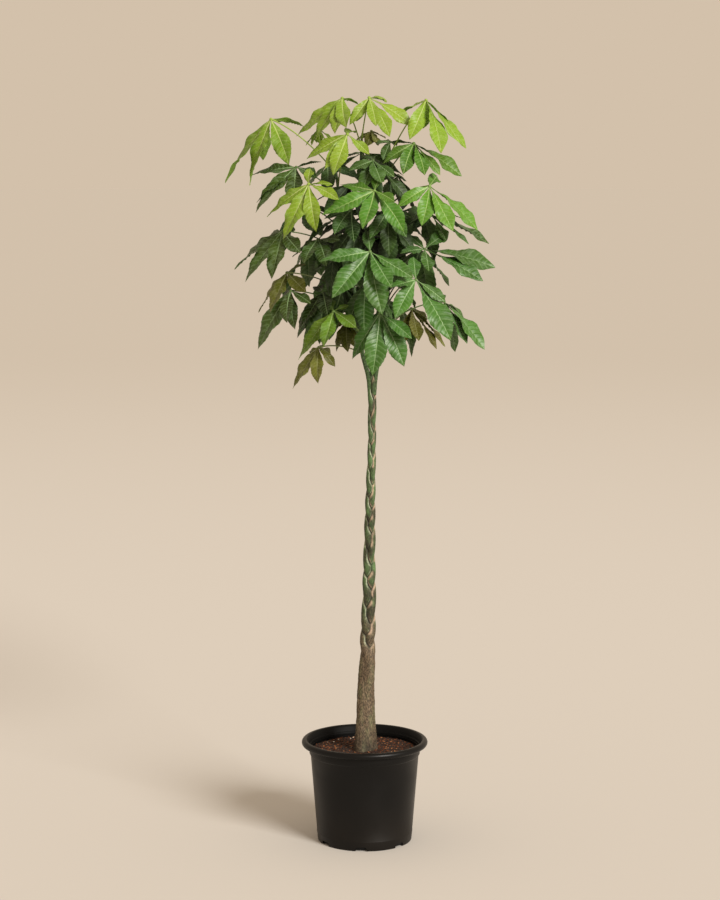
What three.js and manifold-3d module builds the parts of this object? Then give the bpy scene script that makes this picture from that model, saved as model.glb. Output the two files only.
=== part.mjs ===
// A potted money tree: three braided stems in a black nursery pot, with a crown of palmate leaves.
// Millimetres, +Z up. The origin is the middle of the pot's underside, and the viewer stands at -Y.

import * as THREE from "three";
import { mergeVertices } from "three/addons/utils/BufferGeometryUtils.js";
import Module from "manifold-3d";

const wasm = await Module();
wasm.setup();

// Driving dimensions

const CLEARANCE = 0.3;
const SEED = 4831;

const POT = {
  height: 220,
  rimRadius: 135,
  rollRadius: 7,
  collarRadius: 118.5,
  collarBottom: 188,
  bodyTopRadius: 116,
  footRadius: 101,
  wall: 2.6,
  floor: 3,
  ledgeHeight: 206.5,
  ledgeWidth: 3,
  edgeBreak: 1.5,
  lipWidth: 5,
  lipDepth: 7,
  rollStep: 45,
  segments: 36,
};

const NOTCH = { count: 7, firstAngle: -94.6, width: 23, height: 9, corner: 3.5, depth: 14 };

// The mound of the soil: parts of the radius, each with its part of the rise from edge to middle.
const SOIL = { edgeHeight: 196, middleHeight: 202, mound: [[1, 0], [0.72, 0.55], [0.36, 0.9], [0, 1]] };

// Height, place across, half width, depth-to-width ratio and depth of the fused and braided trunk.
const TRUNK_OUTLINE = [
  [110, 4, 26, 0.9, -14],
  [190, 4, 28.4, 0.9, -14],
  [212, 3.4, 25.6, 0.9, -12.5],
  [256, 2.9, 21.6, 0.9, -9],
  [317, 3.5, 19.1, 0.88, -5],
  [393, 5.8, 16.4, 0.85, -2],
  [439, 6.6, 16.8, 0.85, 0],
  [530, 9.5, 15.2, 0.85, 0],
  [612, 9.8, 13.4, 0.85, 0],
  [737, 12, 11.1, 0.85, 0],
  [865, 15.3, 8.8, 0.9, 0],
  [1004, 15.5, 9.6, 0.9, 0],
];

// Height and the count of strand crossings up to it. Below the first the stems run side by side.
const CROSSINGS = [
  [110, 0],
  [320, 0.3],
  [400, 1.1],
  [424, 2],
  [475, 4],
  [549, 6],
  [601, 8],
  [670, 10],
  [722, 12],
  [773, 14],
  [833, 16],
  [886, 18],
  [956, 20],
  [1004, 21.4],
];

const TRUNK = { strands: 3, strandShare: 0.6, ringGap: 19, sides: 15, core: 0.35 };

// The middle line of each bare shoot above the braid, [across, depth, height], with its radii.
const SHOOTS = {
  left: {
    line: [
      [11.5, 0, 962], [7.5, -2, 1000], [-5, -6, 1050], [-14, -14, 1110], [-24, -24, 1200],
      [-38, -28, 1290], [-52, -22, 1370], [-62, -12, 1445],
    ],
    radii: [5.2, 2.8],
  },
  right: {
    line: [
      [19, -1, 962], [22.5, -2, 1000], [31, -4, 1050], [42, -10, 1110], [50, -20, 1200],
      [55, -24, 1290], [54, -16, 1370], [48, -6, 1440], [44, 0, 1482],
    ],
    radii: [5.2, 2.6],
  },
  back: {
    line: [
      [15, 3, 962], [15, 7, 1000], [14, 17, 1050], [10, 32, 1110], [4, 50, 1200],
      [-2, 60, 1290], [-6, 56, 1370], [-8, 40, 1440], [-6, 22, 1508],
    ],
    radii: [5.2, 2.6],
  },
};
const SHOOT_STEPS = 11;
const SHOOT_SIDES = 7;
const SHOOT_END = 6;

const PETIOLE = { rootRadius: 2.1, hubRadius: 1.5, steps: 3, sides: 4, lift: 0.16 };
const HUB = { radius: 5, height: 3.2, evenness: 0.5, guard: 1.4 };

// A leaflet's shape: widths are half widths in parts of its full width, places are parts of its length.
const LEAFLET = {
  width: 0.37,
  thickness: 0.9,
  innerAt: 0.4,
  innerHalf: 0.38,
  outerAt: 0.7,
  outerHalf: 0.44,
  arch: 0.015,
  fold: 6,
  wave: 0.015,
};

// The corners of one face of a blade: two at the hub, three at each station, and the tip.
const BLADE_TIP = 8;
const BLADE_FACES = [
  [0, 1, 3], [0, 3, 2], [1, 4, 3],
  [2, 3, 6], [2, 6, 5], [3, 4, 7], [3, 7, 6],
  [5, 6, BLADE_TIP], [6, 7, BLADE_TIP],
];
const BLADE_EDGE = [0, 2, 5, BLADE_TIP, 7, 4, 1];

// How a leaflet bends clear of what grew before it: the gap to keep, and the turns tried, in degrees.
const BEND = {
  gap: 0.8,
  crossing: 0.02,
  gentleTries: 11,
  tries: [
    [0, 0], [5, 0], [-5, 0], [0, 6], [0, -6], [10, 0], [-10, 0], [6, 8], [6, -8], [-7, 8], [-7, -8],
    [15, 0], [-15, 0], [0, 13], [0, -13], [12, 12], [12, -12], [-14, 12], [-14, -12],
    [21, 0], [-21, 0], [28, 0], [-28, 0], [20, 20], [20, -20], [-22, 20], [-22, -20], [36, 0],
  ],
};

// Colour and roughness of each surface.
const FINISHES = {
  pot: [0x1b1b1c, 0.55],
  soil: [0x4a2f22, 0.95],
  trunk: [0x5f5a3c, 0.85],
  young: [0x9dbb2f, 0.5],
  fresh: [0x4f8c2c, 0.5],
  dark: [0x2c5a2a, 0.5],
  olive: [0x5b6a24, 0.5],
};

// The leaves that show from the front. A place is [across, height, depth] as seen by a viewer at the
// distance below, where across and height are those of the pot's middle plane. A tip's depth is
// counted from its hub. "root" is the height at which the leaf stalk leaves its shoot. These leaves
// also lean towards the viewer, by "lean" for each unit of height.
const VIEWER = { across: -10, height: 1510, distance: 5000, lean: 0.3 };

const SEEN_LEAVES = [
  {
    name: "dark_centre", tint: "dark", shoot: "left", root: 1212, hub: [11, 1263, -160],
    tips: [[-98, 1241, -50], [-70, 1164, -60], [37, 1129, -60], [57, 1187, -78], [103, 1207, -45],
      [5, 1306, 62]],
  },
  {
    name: "dark_lower_right", tint: "dark", shoot: "right", root: 1150, hub: [107, 1204, -165],
    tips: [[52, 1186, -60], [63, 1122, -60], [181, 1076, -60], [170, 1157, -20], [102, 1252, 62]],
  },
  {
    name: "fresh_centre", tint: "fresh", shoot: "right", root: 1335, hub: [20, 1389, -140],
    tips: [[-91, 1338, -35], [-5, 1309, -72], [82, 1303, -45], [63, 1366, -55], [-52, 1402, 45],
      [33, 1422, 65]],
  },
  {
    name: "dark_lowest", tint: "dark", shoot: "right", root: 1072, hub: [32, 1134, -140],
    tips: [[16, 1001, -40], [83, 1021, -25], [99, 1080, -45], [-27, 1036, 15], [2, 1112, 62]],
  },
  {
    name: "young_left", tint: "young", shoot: "left", root: 1348, hub: [-117, 1403, -120],
    tips: [[-205, 1334, 20], [-171, 1286, -40], [-101, 1303, -55], [-60, 1365, -50], [-67, 1402, 30],
      [-113, 1435, 60]],
  },
  {
    name: "young_centre", tint: "young", shoot: "left", root: 1400, hub: [-36, 1506, -70],
    tips: [[-123, 1453, 15], [-92, 1438, -42], [-66, 1420, -70], [10, 1464, -45], [-26, 1512, 85]],
  },
  {
    name: "fresh_right", tint: "fresh", shoot: "right", root: 1362, hub: [135, 1399, -85],
    tips: [[66, 1354, -28], [108, 1319, -62], [185, 1305, -55], [236, 1307, 0], [150, 1420, 75]],
  },
  {
    name: "bright_low", tint: "fresh", shoot: "left", root: 1095, hub: [-66, 1138, -125],
    tips: [[-140, 1035, 5], [-87, 1062, -62], [-17, 1103, -60], [-34, 1150, 20], [-75, 1165, 60]],
  },
  {
    name: "dark_right", tint: "dark", shoot: "right", root: 1222, hub: [125, 1268, -70],
    tips: [[73, 1258, -50], [134, 1221, -72], [248, 1201, -20], [274, 1229, 25], [176, 1303, 62],
      [84, 1303, 40]],
  },
  {
    name: "young_top_right", tint: "young", shoot: "right", root: 1452, hub: [127, 1576, -10],
    tips: [[66, 1544, 40], [93, 1494, -60], [159, 1466, -75], [197, 1488, -32], [211, 1476, 20],
      [112, 1515, 85]],
  },
  {
    name: "young_far_left", tint: "young", shoot: "left", root: 1424, hub: [-195, 1537, -10],
    tips: [[-292, 1404, 10], [-240, 1399, -45], [-169, 1436, -70], [-122, 1520, 55], [-212, 1452, 85]],
  },
  {
    name: "young_top", tint: "young", shoot: "back", root: 1496, hub: [9, 1581, -20],
    tips: [[-32, 1524, -42], [24, 1522, -72], [52, 1500, -55], [89, 1508, -10], [46, 1574, 70],
      [-18, 1532, 78]],
  },
  {
    name: "young_top_left", tint: "young", shoot: "back", root: 1478, hub: [-47, 1580, -15],
    tips: [[-143, 1501, 25], [-104, 1490, -40], [-62, 1506, -72], [-38, 1519, -82], [-12, 1566, 52],
      [-86, 1522, 78]],
  },
  {
    name: "dark_left", tint: "dark", shoot: "left", root: 1256, hub: [-172, 1305, -55],
    tips: [[-273, 1225, 10], [-251, 1198, -45], [-195, 1204, -75], [-134, 1260, -75], [-212, 1284, 72],
      [-150, 1302, 70]],
  },
  {
    name: "dark_far_right", tint: "dark", shoot: "right", root: 1108, hub: [166, 1158, -80],
    tips: [[252, 1057, -20], [203, 1063, -10], [190, 1052, 30], [214, 1112, 65], [150, 1182, 60]],
  },
  {
    name: "olive_lowest", tint: "olive", shoot: "left", root: 1050, hub: [-97, 1062, -60],
    tips: [[-152, 974, 0], [-98, 985, -45], [-114, 1049, -52], [-76, 1043, -50], [-62, 1021, -5],
      [-92, 1060, 55]],
  },
  {
    name: "dark_low_left", tint: "dark", shoot: "left", root: 1128, hub: [-155, 1181, -85],
    tips: [[-225, 1056, -20], [-163, 1113, -62], [-146, 1099, -35], [-118, 1150, -45],
      [-186, 1150, 70]],
  },
  {
    name: "olive_left", tint: "olive", shoot: "left", root: 1166, hub: [-163, 1219, -40],
    tips: [[-223, 1135, 15], [-202, 1126, -45], [-122, 1178, -70], [-123, 1237, 35], [-178, 1190, 75]],
  },
  {
    name: "fresh_upper_right", tint: "fresh", shoot: "right", root: 1428, hub: [102, 1487, -30],
    tips: [[36, 1444, -15], [80, 1423, -60], [125, 1421, -62], [157, 1421, -30], [202, 1419, 20],
      [86, 1452, 75]],
  },
  {
    name: "dark_upper_left", tint: "dark", shoot: "left", root: 1374, hub: [-143, 1438, -25],
    tips: [[-238, 1405, 30], [-226, 1364, -20], [-228, 1343, -50], [-170, 1362, -80], [-112, 1418, -65],
      [-90, 1449, 40]],
  },
  {
    name: "dark_inner_left", tint: "dark", shoot: "left", root: 1238, hub: [-98, 1288, -75],
    tips: [[-152, 1251, 40], [-127, 1238, -80], [-80, 1232, -80], [-56, 1283, -50], [-60, 1322, 35]],
  },
  {
    name: "dark_low_inner", tint: "dark", shoot: "left", root: 1146, hub: [-88, 1180, -62],
    tips: [[-158, 1086, -20], [-139, 1096, -50], [-100, 1071, -55], [-62, 1098, -60],
      [-100, 1190, 70]],
  },
  {
    name: "olive_low_right", tint: "olive", shoot: "right", root: 1088, hub: [98, 1144, 35],
    tips: [[148, 1058, -30], [169, 1063, 5], [114, 1075, -65], [82, 1071, -40], [130, 1120, 75]],
  },
  {
    name: "dark_upper_centre", tint: "dark", shoot: "back", root: 1396, hub: [17, 1452, -50],
    tips: [[-34, 1430, -55], [-6, 1392, -68], [34, 1391, -72], [62, 1417, -50], [12, 1460, 78]],
  },
  {
    name: "dark_mid_right", tint: "dark", shoot: "right", root: 1290, hub: [140, 1338, 20],
    tips: [[260, 1279, 15], [207, 1270, -35], [168, 1286, -68], [100, 1308, -50], [160, 1318, 80]],
  },
  {
    name: "dark_mid_centre", tint: "dark", shoot: "right", root: 1318, hub: [48, 1348, -90],
    tips: [[51, 1252, -25], [10, 1288, -60], [88, 1292, -50], [98, 1334, 20], [20, 1340, 70]],
  },
  {
    name: "grey_mid_left", tint: "dark", shoot: "left", root: 1304, hub: [-28, 1350, -92],
    tips: [[-64, 1298, -65], [-22, 1282, -60], [-86, 1330, 0], [-40, 1345, 72]],
  },
  {
    name: "dark_top_right", tint: "dark", shoot: "right", root: 1472, hub: [53, 1490, 10],
    tips: [[24, 1484, -48], [44, 1450, -48], [76, 1462, -60], [98, 1489, -30], [60, 1484, 70]],
  },
  {
    name: "olive_top", tint: "olive", shoot: "back", root: 1462, hub: [14, 1512, 40],
    tips: [[-22, 1492, -25], [4, 1480, -52], [28, 1482, -50], [44, 1497, -25], [12, 1490, 60]],
  },
  {
    name: "young_inner_left", tint: "young", shoot: "left", root: 1438, hub: [-95, 1516, 20],
    tips: [[-123, 1482, -5], [-112, 1476, -32], [-90, 1484, -38], [-68, 1494, -12], [-100, 1488, 38]],
  },
  {
    name: "olive_low_centre", tint: "olive", shoot: "back", root: 1064, hub: [-38, 1118, 5],
    tips: [[-60, 1052, -30], [-32, 1048, -48], [-4, 1066, -25], [-72, 1096, 30], [-28, 1100, 70]],
  },
];

// The other leaves, in rings round the shoots: height and reach of the hubs, the first and last bearing
// in degrees (0 is right, 90 is away from the viewer), the leaflets' length and their droop.
const RINGS = [
  { count: 5, height: 1174, reach: 106, from: 46, to: 146, length: 122, droop: 45 },
  { count: 5, height: 1260, reach: 128, from: 30, to: 152, length: 132, droop: 42 },
  { count: 4, height: 1350, reach: 138, from: 20, to: 160, length: 132, droop: 42 },
  { count: 3, height: 1446, reach: 94, from: 42, to: 144, length: 112, droop: 38 },
  { count: 3, height: 1185, reach: 92, from: 232, to: 318, length: 118, droop: 55 },
  { count: 3, height: 1310, reach: 92, from: 222, to: 300, length: 112, droop: 52 },
  { count: 2, height: 1424, reach: 66, from: 235, to: 300, length: 104, droop: 46 },
];
const RING_LEAF = { leaflets: 5, fan: 288, rootDrop: 0.42, shortest: 0.72 };
const JITTER = { height: 30, reach: 14, bearing: 4, fan: 8, droop: 8, length: 0.06 };
const CROWN_TILT = 0.5;

// Small helpers

function makeRandom(seed) {
  let state = seed;
  return () => {
    state = (state * 16807) % 2147483647;
    return state / 2147483647;
  };
}

function rad(degrees) {
  return (degrees * Math.PI) / 180;
}

// Reads row after row of [key, value, ...] and blends column "column" at the given key.
function along(rows, key, column) {
  const last = rows.length - 1;
  if (key <= rows[0][0]) return rows[0][column];
  if (key >= rows[last][0]) return rows[last][column];
  const next = rows.findIndex((row) => row[0] > key);
  const [before, after] = [rows[next - 1], rows[next]];
  const share = (key - before[0]) / (after[0] - before[0]);
  return before[column] + share * (after[column] - before[column]);
}

function solidFromGeometry(geometry) {
  geometry.deleteAttribute("normal");
  geometry.deleteAttribute("uv");
  const merged = mergeVertices(geometry, 1e-4);
  return solidFromArrays(merged.attributes.position.array, merged.index.array);
}

function solidFromArrays(positions, faces) {
  const mesh = new wasm.Mesh({
    numProp: 3,
    vertProperties: Float32Array.from(positions),
    triVerts: Uint32Array.from(faces),
  });
  mesh.merge();
  return new wasm.Manifold(mesh);
}

function meshFromSolid(name, solid, material) {
  const { vertProperties, triVerts } = solid.getMesh();
  const geometry = new THREE.BufferGeometry();
  geometry.setAttribute("position", new THREE.BufferAttribute(vertProperties, 3));
  geometry.setIndex(new THREE.BufferAttribute(triVerts, 1));
  geometry.computeVertexNormals();
  const mesh = new THREE.Mesh(geometry, material);
  mesh.name = name;
  return mesh;
}

function surface(finish) {
  const [color, roughness] = FINISHES[finish];
  return new THREE.MeshStandardMaterial({ color, roughness, metalness: 0, flatShading: true });
}

// Closes a stack of rings, each a list of points in the same turning sense, into one solid.
function solidFromRings(rings) {
  const sides = rings[0].length;
  const positions = rings.flat().flatMap((point) => [point.x, point.y, point.z]);
  const faces = [];
  for (let ring = 0; ring < rings.length - 1; ring += 1) {
    for (let side = 0; side < sides; side += 1) {
      const low = ring * sides + side;
      const lowNext = ring * sides + ((side + 1) % sides);
      faces.push(low, lowNext, lowNext + sides, low, lowNext + sides, low + sides);
    }
  }
  const top = (rings.length - 1) * sides;
  for (let side = 1; side < sides - 1; side += 1) {
    faces.push(0, side + 1, side);
    faces.push(top, top + side, top + side + 1);
  }
  return solidFromArrays(positions, faces);
}

function tubeSolid(curve, steps, sides, radiusAt) {
  const frames = curve.computeFrenetFrames(steps, false);
  const rings = [];
  for (let step = 0; step <= steps; step += 1) {
    const middle = curve.getPointAt(step / steps);
    const ring = [];
    for (let side = 0; side < sides; side += 1) {
      const turn = (2 * Math.PI * side) / sides;
      const point = middle.clone();
      point.addScaledVector(frames.normals[step], radiusAt(step / steps) * Math.cos(turn));
      point.addScaledVector(frames.binormals[step], radiusAt(step / steps) * Math.sin(turn));
      ring.push(point);
    }
    rings.push(ring);
  }
  return solidFromRings(rings);
}

// The pot and its soil

function innerWall(inset) {
  const foot = POT.footRadius - POT.wall - inset;
  const top = POT.bodyTopRadius - POT.wall - inset;
  const collar = POT.collarRadius - POT.wall - inset;
  return { foot, top, collar };
}

function potProfile() {
  const { rimRadius, rollRadius, height, wall, floor, edgeBreak } = POT;
  const inner = innerWall(0);
  const rollMiddle = new THREE.Vector2(rimRadius - rollRadius, height - rollRadius);
  const points = [
    [0, 0],
    [POT.footRadius - edgeBreak, 0],
    [POT.footRadius, edgeBreak],
    [POT.bodyTopRadius, POT.collarBottom],
    [POT.collarRadius, POT.collarBottom + edgeBreak],
    [POT.collarRadius + 1, POT.height - 2 * rollRadius],
  ];
  for (let turn = -90; turn <= 90; turn += POT.rollStep) {
    const x = rollMiddle.x + rollRadius * Math.cos(rad(turn));
    points.push([x, rollMiddle.y + rollRadius * Math.sin(rad(turn))]);
  }
  points.push([rollMiddle.x - POT.lipWidth, height - edgeBreak]);
  points.push([inner.collar + POT.ledgeWidth + 1, height - POT.lipDepth]);
  points.push([inner.collar + POT.ledgeWidth, POT.ledgeHeight + 1]);
  points.push([inner.collar, POT.ledgeHeight]);
  points.push([inner.collar, POT.collarBottom + wall]);
  points.push([inner.top, POT.collarBottom]);
  points.push([inner.foot, floor]);
  points.push([0, floor]);
  return points.map(([x, y]) => new THREE.Vector2(x, y));
}

function latheSolid(points) {
  const geometry = new THREE.LatheGeometry(points, POT.segments);
  geometry.rotateX(Math.PI / 2);
  return solidFromGeometry(geometry);
}

function notchSolid(bearing) {
  const { width, height, corner, depth } = NOTCH;
  const shape = new THREE.Shape();
  shape.moveTo(-width / 2, -1);
  shape.lineTo(width / 2, -1);
  shape.lineTo(width / 2, height - corner);
  shape.lineTo(width / 2 - corner, height);
  shape.lineTo(corner - width / 2, height);
  shape.lineTo(-width / 2, height - corner);
  const geometry = new THREE.ExtrudeGeometry(shape, { depth: 2 * depth, bevelEnabled: false });
  geometry.translate(0, 0, POT.footRadius - depth);
  geometry.rotateX(Math.PI / 2);
  geometry.rotateZ(rad(bearing + 90));
  return solidFromGeometry(geometry);
}

function potSolid() {
  let pot = latheSolid(potProfile());
  for (let notch = 0; notch < NOTCH.count; notch += 1) {
    pot = pot.subtract(notchSolid(NOTCH.firstAngle + (360 / NOTCH.count) * notch));
  }
  return pot;
}

function soilSolid(trunkHole) {
  const { edgeHeight, middleHeight, mound } = SOIL;
  const wall = innerWall(CLEARANCE);
  const points = [
    [0, POT.floor + CLEARANCE],
    [wall.foot, POT.floor + CLEARANCE],
    [wall.top, POT.collarBottom],
    [wall.collar, POT.collarBottom + POT.wall + CLEARANCE],
    ...mound.map(([radius, rise]) => [
      wall.collar * radius,
      edgeHeight + (middleHeight - edgeHeight) * rise,
    ]),
  ].map(([x, y]) => new THREE.Vector2(x, y));
  return latheSolid(points).subtract(trunkHole);
}

// The trunk: a section through three strands that trade places, drawn round their common middle. Seen
// from the front, the strand on top always parts from the middle as it rises.

function strandPlaces(height) {
  const half = along(TRUNK_OUTLINE, height, 2);
  const depthShare = along(TRUNK_OUTLINE, height, 3);
  const radius = half * TRUNK.strandShare;
  const phase = (along(CROSSINGS, height, 1) * Math.PI) / 3;
  const places = [];
  for (let strand = 0; strand < TRUNK.strands; strand += 1) {
    const turn = phase + (2 * Math.PI * strand) / TRUNK.strands;
    const x = (half - radius) * Math.sin(turn);
    const y = (radius - half * depthShare) * Math.sin(2 * turn);
    places.push({ x, y, radius });
  }
  return places;
}

// How far the trunk reaches from its middle at a height, in the direction of a turn.
function trunkReach(height, turn) {
  const [cos, sin] = [Math.cos(turn), Math.sin(turn)];
  let reach = along(TRUNK_OUTLINE, height, 2) * TRUNK.core;
  for (const { x, y, radius } of strandPlaces(height)) {
    const forward = x * cos + y * sin;
    const aside = x * sin - y * cos;
    if (Math.abs(aside) < radius) {
      reach = Math.max(reach, forward + Math.sqrt(radius * radius - aside * aside));
    }
  }
  return reach;
}

function braidSolid(grow) {
  const bottom = TRUNK_OUTLINE[0][0] - grow;
  const top = TRUNK_OUTLINE[TRUNK_OUTLINE.length - 1][0] + grow;
  const steps = Math.round((top - bottom) / TRUNK.ringGap);
  const rings = [];
  for (let step = 0; step <= steps; step += 1) {
    const height = bottom + ((top - bottom) * step) / steps;
    const middle = new THREE.Vector3(
      along(TRUNK_OUTLINE, height, 1),
      along(TRUNK_OUTLINE, height, 4),
      height,
    );
    const ring = [];
    for (let side = 0; side < TRUNK.sides; side += 1) {
      const turn = (2 * Math.PI * side) / TRUNK.sides;
      const reach = trunkReach(height, turn) + grow;
      const way = new THREE.Vector3(Math.cos(turn), Math.sin(turn), 0);
      ring.push(way.multiplyScalar(reach).add(middle));
    }
    rings.push(ring);
  }
  return solidFromRings(rings);
}

function shootCurve(name) {
  return new THREE.CatmullRomCurve3(SHOOTS[name].line.map((place) => new THREE.Vector3(...place)));
}

function shootSolid(name, grow) {
  const [start, end] = SHOOTS[name].radii;
  const radiusAt = (share) => start + (end - start) * share + grow;
  return tubeSolid(shootCurve(name), SHOOT_STEPS, SHOOT_SIDES, radiusAt);
}

function trunkSolid(grow) {
  let trunk = braidSolid(grow);
  for (const name of Object.keys(SHOOTS)) {
    trunk = trunk.add(shootSolid(name, grow));
  }
  return trunk;
}

// The point of a shoot's middle line at a height, or just under its top.
function shootPoint(name, height) {
  const line = SHOOTS[name].line.map(([x, y, z]) => [z, x, y]);
  const z = Math.min(height, line[line.length - 1][0] - SHOOT_END);
  return new THREE.Vector3(along(line, z, 1), along(line, z, 2), z);
}

// Leaves

function placeSeen([across, height, depth]) {
  const scale = 1 + depth / VIEWER.distance;
  return new THREE.Vector3(
    VIEWER.across + (across - VIEWER.across) * scale,
    depth,
    VIEWER.height + (height - VIEWER.height) * scale,
  );
}

// The direction that a leaf's umbrella of leaflets points up to, tilted away from its shoot, and
// leaning towards the viewer.
function crownAxis(root, hub, lean) {
  const out = new THREE.Vector3(hub.x - root.x, hub.y - root.y, 0).normalize();
  return new THREE.Vector3(0, -lean, 1).addScaledVector(out, CROWN_TILT).normalize();
}

function seenLeaf(entry) {
  const hub = placeSeen(entry.hub);
  const root = shootPoint(entry.shoot, entry.root);
  const tips = entry.tips.map(([x, z, depth]) => placeSeen([x, z, entry.hub[2] + depth]));
  const axis = crownAxis(root, hub, VIEWER.lean);
  return { name: entry.name, tint: entry.tint, root, hub, tips, axis };
}

// The shoot that comes nearest to a place at a height.
function nearestShoot(place, height) {
  const distance = (name) => shootPoint(name, height).distanceTo(place);
  return Object.keys(SHOOTS).reduce((best, name) => (distance(name) < distance(best) ? name : best));
}

function ringLeaf(name, ring, bearing, random) {
  const jitter = () => (random() - 0.5) * 2;
  const height = ring.height + JITTER.height * jitter();
  const reach = ring.reach + JITTER.reach * jitter();
  const turn = rad(bearing + JITTER.bearing * jitter());
  const hub = new THREE.Vector3(reach * Math.cos(turn), reach * Math.sin(turn), height);
  const rootHeight = height - RING_LEAF.rootDrop * reach;
  const root = shootPoint(nearestShoot(hub, rootHeight), rootHeight);
  const leaf = { name, tint: "dark", root, hub, axis: crownAxis(root, hub, 0) };
  leaf.tips = ringTips(leaf, ring, jitter);
  return leaf;
}

function ringTips(leaf, ring, jitter) {
  const { out, aside } = hubDirections(leaf);
  const tips = [];
  for (let leaflet = 0; leaflet < RING_LEAF.leaflets; leaflet += 1) {
    const share = leaflet / (RING_LEAF.leaflets - 1) - 0.5;
    const fan = rad(share * RING_LEAF.fan + JITTER.fan * jitter());
    const droop = rad(ring.droop + JITTER.droop * jitter());
    const inward = 1 - (1 - RING_LEAF.shortest) * Math.abs(2 * share);
    const length = ring.length * inward * (1 + JITTER.length * jitter());
    const tip = leaf.hub.clone();
    tip.addScaledVector(out, length * Math.cos(droop) * Math.cos(fan));
    tip.addScaledVector(aside, length * Math.cos(droop) * Math.sin(fan));
    tip.addScaledVector(leaf.axis, -length * Math.sin(droop));
    tips.push(tip);
  }
  return tips;
}

function ringLeaves() {
  const random = makeRandom(SEED);
  const leaves = [];
  RINGS.forEach((ring, level) => {
    for (let place = 0; place < ring.count; place += 1) {
      const bearing = ring.from + ((ring.to - ring.from) * place) / (ring.count - 1);
      leaves.push(ringLeaf(`ring_${level + 1}_${place + 1}`, ring, bearing, random));
    }
  });
  return leaves;
}

// A leaflet's own directions: along it, up from its face, and across its blade.
function leafletFrame(hub, tip, axis) {
  const forward = tip.clone().sub(hub);
  const length = forward.length();
  forward.divideScalar(length);
  const up = axis.clone().addScaledVector(forward, -axis.dot(forward)).normalize();
  const across = new THREE.Vector3().crossVectors(forward, up);
  return { forward, up, across, length };
}

// Turns a tip about the hub: "lift" raises it, "swing" moves it sideways.
function turnedTip(hub, tip, axis, lift, swing) {
  const { forward, up, across, length } = leafletFrame(hub, tip, axis);
  const way = forward.clone().multiplyScalar(Math.cos(rad(lift)) * Math.cos(rad(swing)));
  way.addScaledVector(up, Math.sin(rad(lift)));
  way.addScaledVector(across, Math.cos(rad(lift)) * Math.sin(rad(swing)));
  return hub.clone().addScaledVector(way.normalize(), length);
}

// Three points across the blade at a part of its length, on its upper or lower face.
function bladeStation(hub, frame, at, half, wave, face) {
  const { forward, up, across, length } = frame;
  const rise = 4 * LEAFLET.arch * length * at * (1 - at);
  const middle = hub.clone().addScaledVector(forward, length * at);
  middle.addScaledVector(up, rise + face * LEAFLET.thickness * 0.5);
  const halfWidth = half * LEAFLET.width * length;
  const edges = [-1, 1].map((way) => {
    const edge = middle.clone().addScaledVector(across, way * halfWidth * Math.cos(rad(LEAFLET.fold)));
    const lift = halfWidth * Math.sin(rad(LEAFLET.fold)) + way * wave * length;
    return edge.addScaledVector(up, lift);
  });
  return [edges[0], middle, edges[1]];
}

// The leaf's two directions square to its axis, from which bearings round the hub are measured.
function hubDirections(leaf) {
  const out = new THREE.Vector3(leaf.hub.x - leaf.root.x, leaf.hub.y - leaf.root.y, 0).normalize();
  out.addScaledVector(leaf.axis, -out.dot(leaf.axis)).normalize();
  return { out, aside: new THREE.Vector3().crossVectors(leaf.axis, out) };
}

// The leaflets in order round the hub, each with the two corners of the hub's rim that it grows from.
function hubSectors(leaf) {
  const { out, aside } = hubDirections(leaf);
  const full = 2 * Math.PI;
  const sorted = leaf.tips
    .map((tip) => {
      const way = tip.clone().sub(leaf.hub);
      return { tip, bearing: (Math.atan2(way.dot(aside), way.dot(out)) + full) % full };
    })
    .sort((first, second) => first.bearing - second.bearing);
  const count = sorted.length;
  const offset = sorted.reduce((sum, { bearing }, place) => sum + bearing - (full * place) / count, 0);
  const corners = sorted.map(({ bearing }, place) => {
    const before = sorted[(place + count - 1) % count].bearing - (place === 0 ? full : 0);
    const even = offset / count + (full * (place - 0.5)) / count;
    const turn = HUB.evenness * even + (1 - HUB.evenness) * 0.5 * (before + bearing);
    const corner = leaf.hub.clone().addScaledVector(out, HUB.radius * Math.cos(turn));
    corner.addScaledVector(aside, HUB.radius * Math.sin(turn));
    return [1, -1].map((face) => corner.clone().addScaledVector(leaf.axis, (face * HUB.height) / 2));
  });
  return sorted.map(({ tip }, place) => ({
    tip,
    low: corners[place],
    high: corners[(place + 1) % count],
  }));
}

// The triangles of one blade between its two rim corners and its tip, without the wall at its root.
function bladeTriangles(leaf, sector, tip) {
  const frame = leafletFrame(leaf.hub, tip, leaf.axis);
  const { innerAt, innerHalf, outerAt, outerHalf, wave } = LEAFLET;
  const [top, under] = [1, -1].map((face, index) => [
    sector.high[index],
    sector.low[index],
    ...bladeStation(leaf.hub, frame, innerAt, innerHalf, wave, face),
    ...bladeStation(leaf.hub, frame, outerAt, outerHalf, -wave, face),
    tip,
  ]);
  const triangles = [];
  for (const [a, b, c] of BLADE_FACES) {
    triangles.push([top[a], top[b], top[c]], [under[a], under[c], under[b]]);
  }
  for (let step = 0; step < BLADE_EDGE.length - 1; step += 1) {
    const [a, b] = [BLADE_EDGE[step], BLADE_EDGE[step + 1]];
    if (b !== BLADE_TIP) triangles.push([top[a], top[b], under[b]]);
    if (a !== BLADE_TIP) triangles.push([top[a], under[b], under[a]]);
  }
  return triangles;
}

function rootWall(sector) {
  const [high, low] = [sector.high, sector.low];
  return [[high[0], high[1], low[1]], [high[0], low[1], low[0]]];
}

function reversed(triangles) {
  return triangles.map(([a, b, c]) => [a, c, b]);
}

function solidFromTriangles(triangles) {
  const geometry = new THREE.BufferGeometry().setFromPoints(triangles.flat());
  return solidFromGeometry(geometry);
}

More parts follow.
